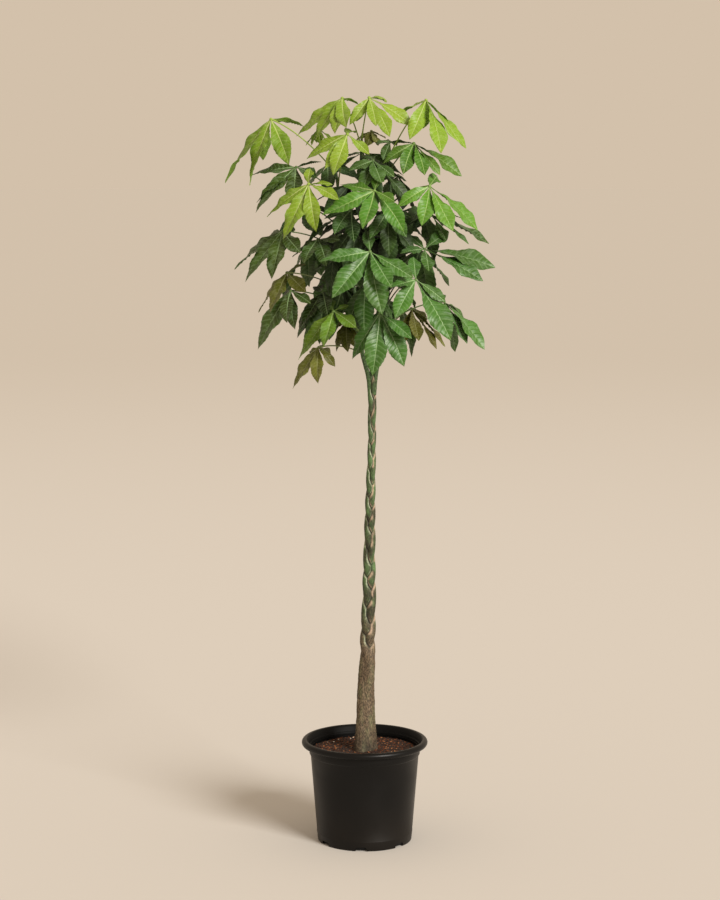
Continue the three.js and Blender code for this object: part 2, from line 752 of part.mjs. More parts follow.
function petioleSolid(root, hub) {
  const reach = root.distanceTo(hub);
  const middle = root.clone().lerp(hub, 0.5);
  middle.z += PETIOLE.lift * reach;
  const curve = new THREE.QuadraticBezierCurve3(root, middle, hub);
  const radiusAt = (share) => PETIOLE.rootRadius + (PETIOLE.hubRadius - PETIOLE.rootRadius) * share;
  return tubeSolid(curve, PETIOLE.steps, PETIOLE.sides, radiusAt);
}

function boxesApart(first, second, gap) {
  return [0, 1, 2].some(
    (side) => first.min[side] > second.max[side] + gap || second.min[side] > first.max[side] + gap,
  );
}

function withBox(solid) {
  return { solid, box: solid.boundingBox() };
}

function isClear({ solid, box }, neighbours) {
  return neighbours.every(
    (other) => boxesApart(box, other.box, BEND.gap) || solid.minGap(other.solid, BEND.gap) >= BEND.gap,
  );
}

function crossesAny({ solid, box }, siblings) {
  return siblings.some(
    (other) => !boxesApart(box, other.box, 0) && solid.intersect(other.solid).volume() > BEND.crossing,
  );
}

// The first gentle turn that keeps a leaflet clear of other leaves and of its own leaf's blades, or else
// the first of any turn that clears the other leaves, which is then fused where it crosses its own.
function clearBlade(leaf, sector, neighbours, siblings) {
  let crossing = null;
  for (const [place, [lift, swing]] of BEND.tries.entries()) {
    if (crossing && place >= BEND.gentleTries) break;
    const tip = turnedTip(leaf.hub, sector.tip, leaf.axis, lift, swing);
    const triangles = bladeTriangles(leaf, sector, tip);
    const blade = withBox(solidFromTriangles(triangles.concat(rootWall(sector))));
    if (!isClear(blade, neighbours)) continue;
    if (!crossesAny(blade, siblings)) return { ...blade, triangles };
    crossing = crossing ?? blade;
  }
  return crossing;
}

// One leaf's blades on their shared hub, as one closed solid, with each blade as a solid for later tests.
function growBlades(leaf, neighbours) {
  const sectors = hubSectors(leaf);
  const blades = [];
  const triangles = [];
  for (const sector of sectors) {
    const blade = clearBlade(leaf, sector, neighbours, blades);
    if (blade) blades.push(blade);
    triangles.push(...(blade?.triangles ?? reversed(rootWall(sector))));
  }
  const rim = sectors.map(({ low }) => low);
  for (let corner = 1; corner < rim.length - 1; corner += 1) {
    triangles.push([rim[0][0], rim[corner][0], rim[corner + 1][0]]);
    triangles.push([rim[0][1], rim[corner + 1][1], rim[corner][1]]);
  }
  const crossing = blades.filter((blade) => !blade.triangles);
  const star = crossing.reduce((whole, { solid }) => whole.add(solid), solidFromTriangles(triangles));
  return { star, blades };
}

// What stands still while leaflets bend: a leaf's stalk, and a ball that covers its hub.
function fixedParts({ root, hub }, trunkHole) {
  const ball = new THREE.IcosahedronGeometry(HUB.radius * HUB.guard, 0).translate(hub.x, hub.y, hub.z);
  const stalk = petioleSolid(root, hub).subtract(trunkHole);
  return { stalk, parts: [withBox(stalk), withBox(solidFromGeometry(ball))] };
}

function growLeaves(leaves, trunk, trunkHole) {
  const fixed = leaves.map((leaf) => fixedParts(leaf, trunkHole));
  const grown = [withBox(trunk)];
  return leaves.map((leaf, place) => {
    const others = fixed.filter((_, index) => index !== place).flatMap(({ parts }) => parts);
    const { star, blades } = growBlades(leaf, grown.concat(others));
    grown.push(...blades);
    const solid = star.add(fixed[place].stalk);
    return meshFromSolid(`leaf_${leaf.name}`, solid, surface(leaf.tint));
  });
}

// The whole plant

function buildMoneyTree() {
  const trunk = trunkSolid(0);
  const trunkHole = trunkSolid(CLEARANCE);
  const leaves = SEEN_LEAVES.map(seenLeaf).concat(ringLeaves());
  const group = new THREE.Group();
  group.add(meshFromSolid("pot", potSolid(), surface("pot")));
  group.add(meshFromSolid("soil", soilSolid(trunkHole), surface("soil")));
  group.add(meshFromSolid("trunk", trunk, surface("trunk")));
  growLeaves(leaves, trunk, trunkHole).forEach((leaf) => group.add(leaf));
  return group;
}

export default buildMoneyTree();
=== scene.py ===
"""A potted money tree: braided stems in a black nursery pot, with a crown of palmate leaves.

The tables and the shapes are in millimetres, and become metres when a mesh is made. Z is up, the
origin is the middle of the pot's underside, and the viewer stands at -Y.
"""

import logging
import math
from collections.abc import Mapping, Sequence
from dataclasses import dataclass, field
from enum import Enum
from typing import Any

import bpy
import numpy as np
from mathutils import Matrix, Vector, noise


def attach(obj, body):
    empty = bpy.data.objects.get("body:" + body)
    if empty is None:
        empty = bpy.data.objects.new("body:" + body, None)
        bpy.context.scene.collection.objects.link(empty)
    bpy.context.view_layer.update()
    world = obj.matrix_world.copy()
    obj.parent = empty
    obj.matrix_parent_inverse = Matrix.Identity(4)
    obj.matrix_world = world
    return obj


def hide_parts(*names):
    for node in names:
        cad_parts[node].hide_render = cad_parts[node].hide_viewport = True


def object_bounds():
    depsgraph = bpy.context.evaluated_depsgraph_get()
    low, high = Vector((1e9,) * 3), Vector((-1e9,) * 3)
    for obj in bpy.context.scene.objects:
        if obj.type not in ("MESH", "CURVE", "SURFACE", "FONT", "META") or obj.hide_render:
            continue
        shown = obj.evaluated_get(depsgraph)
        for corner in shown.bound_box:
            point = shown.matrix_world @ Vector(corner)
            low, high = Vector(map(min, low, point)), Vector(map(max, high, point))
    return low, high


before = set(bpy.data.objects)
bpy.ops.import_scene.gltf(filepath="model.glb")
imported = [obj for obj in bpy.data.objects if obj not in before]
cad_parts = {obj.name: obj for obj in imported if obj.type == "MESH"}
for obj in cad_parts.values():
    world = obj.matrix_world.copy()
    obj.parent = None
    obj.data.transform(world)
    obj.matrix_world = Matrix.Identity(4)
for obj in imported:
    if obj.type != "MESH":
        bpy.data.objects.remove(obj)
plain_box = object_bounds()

LOG = logging.getLogger("money_tree")
MM = 0.001
FULL_TURN = 2 * math.pi
UP = np.array([0.0, 0.0, 1.0])
VIEWER_SIDE = np.array([0.0, 1.0, 0.0])
BODY = "root"
Vec = np.ndarray
Place = tuple[float, float, float]
Pair = tuple[float, float]
Face = tuple[int, ...]
Material = bpy.types.Material
NodeTree = bpy.types.NodeTree
Socket = bpy.types.NodeSocket

# Node types and settings that come often. A colour mix has its share at input 0 and its two colours
# at 6 and 7, and gives the mixed colour at output 2.
MATH, VECTOR_MATH = "ShaderNodeMath", "ShaderNodeVectorMath"
MIX, COLOURS = "ShaderNodeMix", {"data_type": "RGBA"}
NOISE, ATTRIBUTE = "ShaderNodeTexNoise", "ShaderNodeAttribute"
RANGE, SOFT = "ShaderNodeMapRange", {"interpolation_type": "SMOOTHSTEP"}
TIMES, TIMES_PLUS = {"operation": "MULTIPLY"}, {"operation": "MULTIPLY_ADD"}
SCALE, FLOATS = {"operation": "SCALE"}, {"data_type": "FLOAT"}
MORE = {"data_type": "FLOAT", "operation": "GREATER_THAN"}
# Most of a noise pattern lies between these.
MIDDLE: Pair = (0.3, 0.7)
WHOLE: Pair = (0.0, 1.0)


class Tint(Enum):
    """The ages of leaf, by their colour."""

    YOUNG = "leaf_young"
    FRESH = "leaf_fresh"
    DARK = "leaf_dark"
    OLIVE = "leaf_olive"


class Shoot(Enum):
    """The three bare shoots above the braid."""

    LEFT = "left"
    RIGHT = "right"
    BACK = "back"


# ---- small tools ----


def linear(colour: str) -> tuple[float, float, float, float]:
    """Turn an sRGB hex colour into the linear values that shaders take.

    Args:
        colour: The colour as "#rrggbb".

    Returns:
        Linear red, green and blue, with an alpha of 1.
    """
    channels = [int(colour[start : start + 2], 16) / 255 for start in (1, 3, 5)]
    red, green, blue = (
        part / 12.92 if part <= 0.04045 else ((part + 0.055) / 1.055) ** 2.4 for part in channels
    )
    return red, green, blue, 1.0


def add(
    tree: NodeTree,
    kind: str,
    settings: Mapping[str, Any] | None = None,
    inputs: Mapping[int | str, Any] | Sequence[Any] = (),
    stops: Sequence[tuple[float, str]] = (),
) -> bpy.types.NodeOutputs:
    """Add a node to a tree, with its settings and links.

    Args:
        tree: The material or geometry tree that gets the node.
        kind: The node's type name.
        settings: Values of the node's own properties.
        inputs: What each input gets, by its place or name, or in the order of the sockets: a value,
            a hex colour, the socket that feeds it, or a list of such sockets.
        stops: Place and hex colour of each stop, on a node with a colour ramp.

    Returns:
        The new node's outputs.
    """
    node = tree.nodes.new(kind)
    for name, value in (settings or {}).items():
        setattr(node, name, value)
    for key, value in inputs.items() if isinstance(inputs, Mapping) else enumerate(inputs):
        if isinstance(value, Socket | list):
            for source in value if isinstance(value, list) else [value]:
                tree.links.new(source, node.inputs[key])
        elif isinstance(value, str) and value.startswith("#"):
            node.inputs[key].default_value = linear(value)
        else:
            node.inputs[key].default_value = value
    for place, (position, colour) in enumerate(stops):
        elements = node.color_ramp.elements
        stop = elements[place] if place < 2 else elements.new(position)
        stop.position = position
        stop.color = linear(colour)
    return node.outputs


def unit(vector: Vec) -> Vec:
    """Return the vector at length 1."""
    return vector / np.linalg.norm(vector)


def smooth_step(value: Vec, low: float, high: float) -> Vec:
    """Return a soft ramp from 0 at low to 1 at high."""
    share = np.clip((value - low) / (high - low), 0.0, 1.0)
    return share * share * (3 - 2 * share)


def eased_inside(points: Vec, margin: float) -> Vec:
    """Ease points that come near the faces of the plain model's box back inside it.

    Args:
        points: The points in millimetres, one a row.
        margin: How near a face the easing starts.

    Returns:
        The points, none of them outside the box.
    """
    low, high = (np.array(corner) / MM for corner in plain_box)
    over = np.clip(points - high + margin, 0, None)
    under = np.clip(low + margin - points, 0, None)
    kept = margin * (np.exp(-under / margin) - np.exp(-over / margin))
    return points - over + under + kept


def smooth_path(places: Sequence[Place], count: int) -> Vec:
    """Draw a smooth line through places.

    Args:
        places: The places, in order.
        count: The points wanted.

    Returns:
        The line's points, one a row.
    """
    rows = np.array(places, dtype=float)
    rows = np.vstack([2 * rows[0] - rows[1], rows, 2 * rows[-1] - rows[-2]])
    spots = np.linspace(0, len(places) - 1, count)
    points = []
    for spot in spots:
        step = min(int(spot), len(places) - 2)
        share = spot - step
        before, start, end, after = rows[step : step + 4]
        first = (end - before) * share
        second = (2 * before - 5 * start + 4 * end - after) * share**2
        third = (3 * start - before - 3 * end + after) * share**3
        points.append(0.5 * (2 * start + first + second + third))
    return np.array(points)


class Dice:
    """Random numbers that are the same on every run."""

    FACTOR = 16807
    PRIME = 2147483647

    def __init__(self, seed: int) -> None:
        """Start the row of numbers at a seed."""
        self.state = seed

    def roll(self) -> float:
        """Return a number from 0 to 1."""
        self.state = self.state * self.FACTOR % self.PRIME
        return self.state / self.PRIME

    def spread(self) -> float:
        """Return a number from -1 to 1."""
        return 2 * (self.roll() - 0.5)

    def between(self, low: float, high: float) -> float:
        """Return a number from low to high."""
        return low + (high - low) * self.roll()


@dataclass
class Shape:
    """Points, faces, loose edges and point attributes that grow into one mesh."""

    points: list[Vec] = field(default_factory=list)
    faces: list[Face] = field(default_factory=list)
    edges: list[tuple[int, int]] = field(default_factory=list)
    values: dict[str, list[Vec]] = field(default_factory=dict)
    count: int = 0

    def join(
        self,
        points: Vec,
        faces: Sequence[Face] = (),
        edges: Sequence[tuple[int, int]] = (),
        values: Mapping[str, Vec | float] | None = None,
    ) -> None:
        """Add a stretch of mesh.

        Args:
            points: Its points in millimetres, one a row.
            faces: Its faces, as places in points.
            edges: Its loose edges, as places in points.
            values: Attributes of its points. One that the shape has and this leaves out is 0.
        """
        start = self.count
        self.faces += [tuple(start + corner for corner in face) for face in faces]
        self.edges += [(start + first, start + last) for first, last in edges]
        values = values or {}
        for name in {**self.values, **values}:
            kept = self.values.setdefault(name, [np.zeros(start)] if start else [])
            kept.append(np.broadcast_to(values.get(name, 0.0), len(points)).astype(float))
        self.points.append(points)
        self.count += len(points)

    def mesh(self, name: str) -> bpy.types.Mesh:
        """Return the shape as a mesh in metres, shaded smooth."""
        mesh = bpy.data.meshes.new(name)
        mesh.from_pydata((np.vstack(self.points) * MM).tolist(), self.edges, self.faces)
        for attribute, stretches in self.values.items():
            layer = mesh.attributes.new(attribute, "FLOAT", "POINT")
            layer.data.foreach_set("value", np.concatenate(stretches).astype(np.float32))
        mesh.shade_smooth()
        mesh.update()
        return mesh


def tube_faces(rings: int, sides: int) -> list[Face]:
    """Return the faces round a tube of rings, with a fan at either end to the last two points.

    Args:
        rings: The rings of points, from the lowest.
        sides: The points in a ring.

    Returns:
        The faces, which point outwards.
    """
    foot, top, last = rings * sides, rings * sides + 1, (rings - 1) * sides
    faces: list[Face] = []
    for side in range(sides):
        after = (side + 1) % sides
        faces += [(foot, after, side), (top, last + side, last + after)]
        for low in range(0, last, sides):
            faces.append((low + side, low + after, low + sides + after, low + sides + side))
    return faces


def lathe(profile: Sequence[Pair], segments: int) -> tuple[Vec, list[Face]]:
    """Turn a profile about the Z axis into a closed skin.

    Args:
        profile: Radius and height of each corner, from the axis below to the axis above.
        segments: The steps in a full turn.

    Returns:
        The points and the faces, which point outwards.
    """
    turns = FULL_TURN * np.arange(segments) / segments
    middle = np.array(profile[1:-1], dtype=float)
    radii, heights = middle[:, :1], np.repeat(middle[:, 1:], segments, axis=1)
    rings = np.stack([radii * np.cos(turns), radii * np.sin(turns), heights], axis=2).reshape(-1, 3)
    points = np.vstack([rings, [[0, 0, profile[0][1]], [0, 0, profile[-1][1]]]])
    return points, tube_faces(len(middle), segments)


def edge_corners(radius: float, height: float, offsets: Sequence[Pair]) -> list[Pair]:
    """Return a profile's corners that lie at offsets out and up from one place."""
    return [(radius + out, height + rise) for out, rise in offsets]


def arc(centre: Pair, radius: float, start: float, end: float, steps: int) -> list[Pair]:
    """Return corners along an arc, from the start to the end angle in degrees."""
    angles = np.radians(np.linspace(start, end, steps + 1))
    return [(centre[0] + radius * math.cos(a), centre[1] + radius * math.sin(a)) for a in angles]


class Recipe:
    """A geometry node tree with named inputs, which turns an object into a plain mesh."""

    def __init__(self, name: str, inputs: Mapping[str, str]) -> None:
        """Start the tree.

        Args:
            name: The tree's name.
            inputs: Each input's name, with its kind of socket.
        """
        self.tree = bpy.data.node_groups.new(name, "GeometryNodeTree")
        face = self.tree.interface
        for way in ("INPUT", "OUTPUT"):
            face.new_socket("Geometry", in_out=way, socket_type="NodeSocketGeometry")
        self.keys = {
            label: face.new_socket(label, in_out="INPUT", socket_type=kind).identifier
            for label, kind in inputs.items()
        }
        self.given = add(self.tree, "NodeGroupInput")

    def close(self, geometry: Socket) -> None:
        """End the tree with real geometry in the tree's material."""
        real = add(self.tree, "GeometryNodeRealizeInstances", None, (geometry,))[0]
        finish = {0: real, "Material": self.given["Material"]}
        dressed = add(self.tree, "GeometryNodeSetMaterial", None, finish)[0]
        add(self.tree, "NodeGroupOutput", None, (dressed,))

    def run(self, thing: bpy.types.Object, values: Mapping[str, Any]) -> None:
        """Work the tree on an object, and leave the result as its plain mesh.

        Args:
            thing: The object.
            values: A value for each named input.
        """
        modifier = thing.modifiers.new(self.tree.name, "NODES")
        modifier.node_group = self.tree
        for label, value in values.items():
            modifier[self.keys[label]] = value
        graph = bpy.context.evaluated_depsgraph_get()
        mesh = bpy.data.meshes.new_from_object(
            thing.evaluated_get(graph), preserve_all_data_layers=True, depsgraph=graph
        )
        thing.modifiers.remove(modifier)
        raw, thing.data = thing.data, mesh
        mesh.name = thing.name
        bpy.data.meshes.remove(raw)


def new_object(name: str, data: bpy.types.ID) -> bpy.types.Object:
    """Return a new object at the scene's origin for a mesh, a lamp or a camera."""
    thing = bpy.data.objects.new(name, data)
    bpy.context.scene.collection.objects.link(thing)
    return thing


def place_piece(thing: bpy.types.Object, slot: str, *nodes: str) -> None:
    """Let a piece ride on the plant, in place of its plain nodes, and report it.

    Args:
        thing: The finished piece.
        slot: The name of the record's material slot. It is not used.
        nodes: The plain nodes that it stands for.
    """
    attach(thing, BODY)
    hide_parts(*nodes)
    LOG.info("%s: %d faces", thing.name, len(thing.data.polygons))


def new_material(name: str) -> tuple[Material, NodeTree, Socket]:
    """Return a new material, its tree, and the socket of each point's place on the object."""
    material = bpy.data.materials.new(name)
    material.use_nodes = True
    tree = material.node_tree
    tree.nodes.clear()
    return material, tree, add(tree, "ShaderNodeTexCoord")["Object"]


def close_material(
    tree: NodeTree,
    colour: Socket,
    roughness: float | Socket,
    relief: tuple[Socket, float, float],
    ior: float = 1.45,
    specular: float = 0.5,
) -> None:
    """End a material's tree in a plain surface with fine relief.

    Args:
        tree: The material's tree.
        colour: The socket of its colour.
        roughness: Its roughness, or the socket of it.
        relief: The socket of the relief's height, its strength, and its depth in metres.
        ior: The index of refraction.
        specular: The strength of the mirror-like part, where a half is plain glass or plastic.
    """
    height, strength, depth = relief
    ridges = {"Height": height, "Strength": strength, "Distance": depth}
    bump = add(tree, "ShaderNodeBump", None, ridges)[0]
    look = {"Base Color": colour, "Roughness": roughness, "IOR": ior, "Normal": bump}
    look["Specular IOR Level"] = specular
    skin = add(tree, "ShaderNodeBsdfPrincipled", None, look)
    add(tree, "ShaderNodeOutputMaterial", None, {"Surface": skin[0]})


# ---- finishes ----


@dataclass(frozen=True)
class MouldedPlastic:
    """Black polypropylene, injection moulded: satin, with a faint sparkle and dust low down."""

    name: str = "moulded_polypropylene"
    black: str = "#090909"
    dust: str = "#1f1a15"
    roughness: Pair = (0.33, 0.46)
    specular: float = 0.2
    ior: float = 1.49
    sparkle_per_m: float = 900.0
    cloud_per_m: float = 14.0
    # The strength of the relief, and its depth in metres.
    relief: Pair = (0.12, 0.0002)
    # Heights in metres, and the share of dust at each.
    dust_line: Pair = (0.0, 0.14)
    dust_share: Pair = (0.75, 0.12)

    def material(self) -> Material:
        """Return the pot's material."""
        material, tree, spot = new_material(self.name)
        # Dust lies in clouds. The mould's fine matt grain breaks the highlight up.
        cloud, grain = (
            add(tree, NOISE, None, {"Vector": spot, "Scale": scale, "Detail": detail})[0]
            for scale, detail in ((self.cloud_per_m, 4.0), (self.sparkle_per_m, 2.0))
        )
        height = add(tree, "ShaderNodeSeparateXYZ", None, (spot,))["Z"]
        low = add(tree, RANGE, SOFT, (height, *self.dust_line, *self.dust_share))[0]
        dusty = add(tree, MATH, TIMES, (low, cloud))[0]
        colour = add(tree, MIX, COLOURS, {0: dusty, 6: self.black, 7: self.dust})[2]
        rough = add(tree, RANGE, None, (cloud, *MIDDLE, *self.roughness))[0]
        close_material(tree, colour, rough, (grain, *self.relief), self.ior, self.specular)
        return material


# Inside, the pot is a darker black, rougher and with less shine: painted shade in its hollow.
INNER_PLASTIC = MouldedPlastic("shaded_matt_polypropylene", "#060606", "#0e0c0a", (0.52, 0.62), 0.13)


@dataclass(frozen=True)
class BarkChips:
    """Composted pine bark and coco fibre: torn, reddish brown, each chip in its own shade."""

    name: str = "composted_bark_chips"
    # The last of the shades is the odd perlite grain, which is white.
    shades: tuple[tuple[float, str], ...] = (
        (0.0, "#20110a"), (0.982, "#9c6c46"), (0.35, "#432415"), (0.65, "#603620"),
        (0.88, "#7e4d30"), (0.9991, "#dcd4c6"),
    )
    wear: Pair = (0.55, 1.35)
    fibre_per_m: float = 700.0
    roughness: float = 0.86
    specular: float = 0.2
    relief: Pair = (0.6, 0.0006)

    def material(self) -> Material:
        """Return the loose chips' material."""
        material, tree, spot = new_material(self.name)
        chip = add(tree, ATTRIBUTE, {"attribute_name": "chip"})["Fac"]
        shade = add(tree, "ShaderNodeValToRGB", None, (chip,), self.shades)[0]
        threads = {"Vector": spot, "Scale": self.fibre_per_m, "Detail": 3.0, "Roughness": 0.6}
        fibre = add(tree, NOISE, None, threads)[0]
        worn = add(tree, RANGE, None, (fibre, *MIDDLE, *self.wear))[0]
        colour = add(tree, VECTOR_MATH, SCALE, {0: shade, "Scale": worn})[0]
        relief = (fibre, *self.relief)
        close_material(tree, colour, self.roughness, relief, specular=self.specular)
        return material


@dataclass(frozen=True)
class DampCompost:
    """Damp compost between the chips: nearly black brown and crumbly, and soaked lower down."""

    name: str = "damp_compost"
    dark: str = "#140c08"
    light: str = "#382318"
    wet: str = "#030202"
    # Heights in metres, from soaked to dry.
    wet_line: Pair = (0.12, 0.18)
    crumb_per_m: float = 420.0
    roughness: float = 0.95
    relief: Pair = (0.8, 0.0015)

    def material(self) -> Material:
        """Return the compost's material."""
        material, tree, spot = new_material(self.name)
        crumbs = {"Vector": spot, "Scale": self.crumb_per_m, "Detail": 4.0}
        crumb = add(tree, NOISE, None, crumbs)[0]
        peat = add(tree, MIX, COLOURS, {0: crumb, 6: self.dark, 7: self.light})[2]
        height = add(tree, "ShaderNodeSeparateXYZ", None, (spot,))["Z"]
        lighter_up = add(tree, RANGE, SOFT, (height, *self.wet_line))[0]
        colour = add(tree, MIX, COLOURS, {0: lighter_up, 6: self.wet, 7: peat})[2]
        close_material(tree, colour, self.roughness, (crumb, *self.relief))
        return material


@dataclass(frozen=True)
class LivingBark:
    """Money tree bark: mossy green on the young braid, grey brown and corky below."""

    name: str = "living_bark"
    # The dark and the light of each kind of bark.
    green: tuple[str, str] = ("#15280f", "#4f693e")
    brown: tuple[str, str] = ("#2a1f14", "#7d6b54")
    shoot: tuple[str, str] = ("#24361f", "#5a7446")
    # A painted highlight on a lip, the pink callus, which is partly painted light, and the painted
    # shade of a crease.
    ridge: str = "#c2c9ac"
    callus: str = "#bfa68e"
    crease_shade: str = "#0b0a06"
    # Bark cells are drawn out along the stem, so the patterns are stretched along Z.
    stretch: Place = (1.0, 1.0, 0.38)
    patches_per_m: float = 55.0
    specks_per_m: float = 560.0
    scars_per_m: float = 44.0
    # Between which values of its pattern each of these fades in, and the share at each for the
    # painted highlight on a lip.
    tone_line: Pair = (0.34, 0.66)
    speck_line: Pair = (0.28, 0.72)
    scar_line: Pair = (0.4, 0.56)
    lip_highlight_line: tuple[float, ...] = (0.42, 0.56, 0.15, 1.0)
    # Heights in metres, and the share of cork at each. Mossy patches have less of it.
    cork_line: Pair = (0.4, 0.52)
    cork_share: Pair = (0.98, 0.2)
    moss: float = -0.35
    cork_more: float = 0.12
    # The foot is darker: heights in metres, and the factor on the colour at each.
    foot_dark_line: Pair = (0.195, 0.265)
    foot_darkening: Pair = (0.62, 1.0)
    speck_shade: Pair = (0.48, 1.36)
    patch_shade: Pair = (0.78, 1.18)
    roughness: float = 0.74
    relief: Pair = (0.55, 0.0006)

    def material(self) -> Material:
        """Return the stems' material."""
        material, tree, spot = new_material(self.name)
        drawn = add(tree, "ShaderNodeMapping", None, {"Vector": spot, "Scale": self.stretch})[0]
        rough = {"Vector": drawn, "Roughness": 0.6}
        patch, fine = (
            add(tree, NOISE, None, rough | {"Scale": scale, "Detail": detail})[0]
            for scale, detail in ((self.patches_per_m, 5.0), (self.specks_per_m, 4.0))
        )
        tones = add(tree, RANGE, SOFT, (patch, *self.tone_line))[0]
        speck = add(tree, RANGE, None, (fine, *MIDDLE))[0]
        kinds = ((tones, self.green), (speck, self.brown), (speck, self.shoot))
        green, brown, bare = (
            add(tree, MIX, COLOURS, {0: share, 6: dark, 7: light})[2]
            for share, (dark, light) in kinds
        )
        height = add(tree, "ShaderNodeSeparateXYZ", None, (spot,))["Z"]
        cork = add(tree, RANGE, SOFT, (height, *self.cork_line, *self.cork_share))[0]
        cork = add(tree, MATH, TIMES_PLUS, (tones, self.moss, cork))[0]
        cork = add(tree, MATH, {"operation": "ADD", "use_clamp": True}, (cork, self.cork_more))[0]
        limb, ridge, scar, seam = (
            add(tree, ATTRIBUTE, {"attribute_name": name})["Fac"]
            for name in ("limb", "ridge", "scar", "seam")
        )
        # Where strands press together, one lip gets a painted highlight and the other pink callus,
        # which is partly painted light, and the crease between them gets painted shade.
        patchy = add(tree, RANGE, SOFT, (patch, *self.lip_highlight_line))[0]
        scars = {"Vector": spot, "Scale": self.scars_per_m, "Detail": 1.0}
        lips_shown = add(tree, RANGE, SOFT, (add(tree, NOISE, None, scars)[0], *self.scar_line))[0]
        lip_highlit, lit_scarred = (
            add(tree, MATH, TIMES, pair)[0] for pair in ((ridge, patchy), (scar, lips_shown))
        )
        layers = [(cork, brown), (limb, bare), (lip_highlit, self.ridge), (lit_scarred, self.callus)]
        colour = green
        for share, layer in [*layers, (seam, self.crease_shade)]:
            colour = add(tree, MIX, COLOURS, {0: share, 6: colour, 7: layer})[2]
        shade = add(tree, RANGE, None, (fine, *self.speck_line, *self.speck_shade))[0]
        lighter_up = add(tree, RANGE, SOFT, (height, *self.foot_dark_line, *self.foot_darkening))[0]
        cloudy = add(tree, RANGE, None, (patch, *MIDDLE, *self.patch_shade))[0]
        for other in (lighter_up, cloudy):
            shade = add(tree, MATH, TIMES, (shade, other))[0]
        colour = add(tree, VECTOR_MATH, SCALE, {0: colour, "Scale": shade})[0]
        close_material(tree, colour, self.roughness, (fine, *self.relief))
        return material


@dataclass(frozen=True)
class LeafSkin:
    """A leaf with a skin of wax: satin above, dull and paler below, and lit through by the light
    behind.
    """

    name: str
    deep: str
    light: str
    warm: str
    rib: str
    under: str
    stalk: str
    through: str
    # The pale colour of the painted sheen.
    sheen: str
    sheer: float
    gloss: float
    specular: float = 0.44
    ior: float = 1.45
    sheen_per_m: float = 85.0
    sheen_line: Pair = (0.47, 0.68)
    sheen_share: float = 0.22
    # The side veins are under half a millimetre wide. They are drawn about 1.5 mm wide, to show.
    vein_edge: float = 0.28
    vein_share: float = 0.21
    # Where the midrib's colour starts to fade and where it ends, in the blade's unit for it.
    rib_edge: Pair = (0.5, 1.5)
    rib_share: float = 0.85
    under_share: float = 0.7
    under_matt: float = 0.22
    cells_per_m: float = 380.0
    # How far a point is from its cell's middle, and the shade at each end.
    cell_line: Pair = (0.0, 0.8)
    cell_shade: Pair = (1.1, 0.86)
    patches_per_m: float = 26.0
    patch_share: float = 0.9
    # Painted shade: leaves deep inside the crown are painted darker, and made rougher, with less
    # shine.
    inner_shade: float = 0.92
    inner_matt: float = 0.3
    through_share: float = 0.6
    relief: Pair = (0.4, 0.0006)

    def material(self) -> Material:
        """Return the leaf's material."""
        material, tree, spot = new_material(self.name)
        tone, warmth, off_rib, vein, under, stalk, inner = (
            add(tree, ATTRIBUTE, {"attribute_name": name})["Fac"]
            for name in ("tone", "warmth", "off_rib", "vein", "under", "stalk", "inner")
        )
        patch, sheen_patch = (
            add(tree, NOISE, None, {"Vector": spot, "Scale": scale, "Detail": 3.0})[0]
            for scale in (self.patches_per_m, self.sheen_per_m)
        )
        mesh = {"Vector": spot, "Scale": self.cells_per_m}
        cells = add(tree, "ShaderNodeTexVoronoi", None, mesh)[0]
        drift = add(tree, MATH, TIMES_PLUS, (patch, self.patch_share, -self.patch_share / 2))[0]
        shade = add(tree, MATH, {"operation": "ADD", "use_clamp": True}, (tone, drift))[0]
        # Painted sheen: a pale grey green is painted in patches, a broad highlight on the wax.
        sheen_mask = add(tree, RANGE, SOFT, (sheen_patch, *self.sheen_line, 0.0, self.sheen_share))[0]
        ripple = add(tree, MATH, {"operation": "FRACT"}, (vein,))[0]
        beside = add(tree, MATH, {"operation": "SUBTRACT"}, (ripple, 0.5))[0]
        beside = add(tree, MATH, {"operation": "ABSOLUTE"}, (beside,))[0]
        side_vein = add(tree, RANGE, SOFT, (beside, self.vein_edge, 0.5, 0.0, self.vein_share))[0]
        midrib = add(tree, RANGE, SOFT, (off_rib, *self.rib_edge, self.rib_share, 0.0))[0]
        lines = add(tree, MATH, {"operation": "MAXIMUM"}, (side_vein, midrib))[0]
        dull = add(tree, MATH, TIMES, (under, self.under_share))[0]
        colour = add(tree, MIX, COLOURS, {0: shade, 6: self.deep, 7: self.light})[2]
        layers = ((warmth, self.warm), (sheen_mask, self.sheen), (lines, self.rib), (dull, self.under))
        for share, layer in layers:
            colour = add(tree, MIX, COLOURS, {0: share, 6: colour, 7: layer})[2]
        mottle = add(tree, RANGE, None, (cells, *self.cell_line, *self.cell_shade))[0]
        colour = add(tree, VECTOR_MATH, SCALE, {0: colour, "Scale": mottle})[0]
        whole = add(tree, MIX, COLOURS, {0: stalk, 6: colour, 7: self.stalk})[2]
        lit = add(tree, MIX, COLOURS, {0: self.through_share, 6: whole, 7: self.through})[2]
        painted_shade = add(tree, MATH, TIMES_PLUS, (inner, -self.inner_shade, 1.0))[0]
        above, through = (
            add(tree, VECTOR_MATH, SCALE, {0: part, "Scale": painted_shade})[0] for part in (whole, lit)
        )
        matt = add(tree, MATH, TIMES_PLUS, (under, self.under_matt, self.gloss))[0]
        rough = add(tree, MATH, TIMES_PLUS, (inner, self.inner_matt, matt))[0]
        strength, depth = self.relief
        ridges = {"Height": lines, "Strength": strength, "Distance": depth}
        bump = add(tree, "ShaderNodeBump", None, ridges)[0]
        look = {"Base Color": above, "Roughness": rough, "IOR": self.ior, "Normal": bump}
        look["Specular IOR Level"] = self.specular
        skin = add(tree, "ShaderNodeBsdfPrincipled", None, look)[0]
        glow = add(tree, "ShaderNodeBsdfTranslucent", None, {"Color": through, "Normal": bump})[0]
        share = add(tree, MATH, TIMES_PLUS, (stalk, -self.sheer, self.sheer))[0]
        surface = add(tree, "ShaderNodeMixShader", None, (share, skin, glow))[0]
        add(tree, "ShaderNodeOutputMaterial", None, {"Surface": surface})
        return material
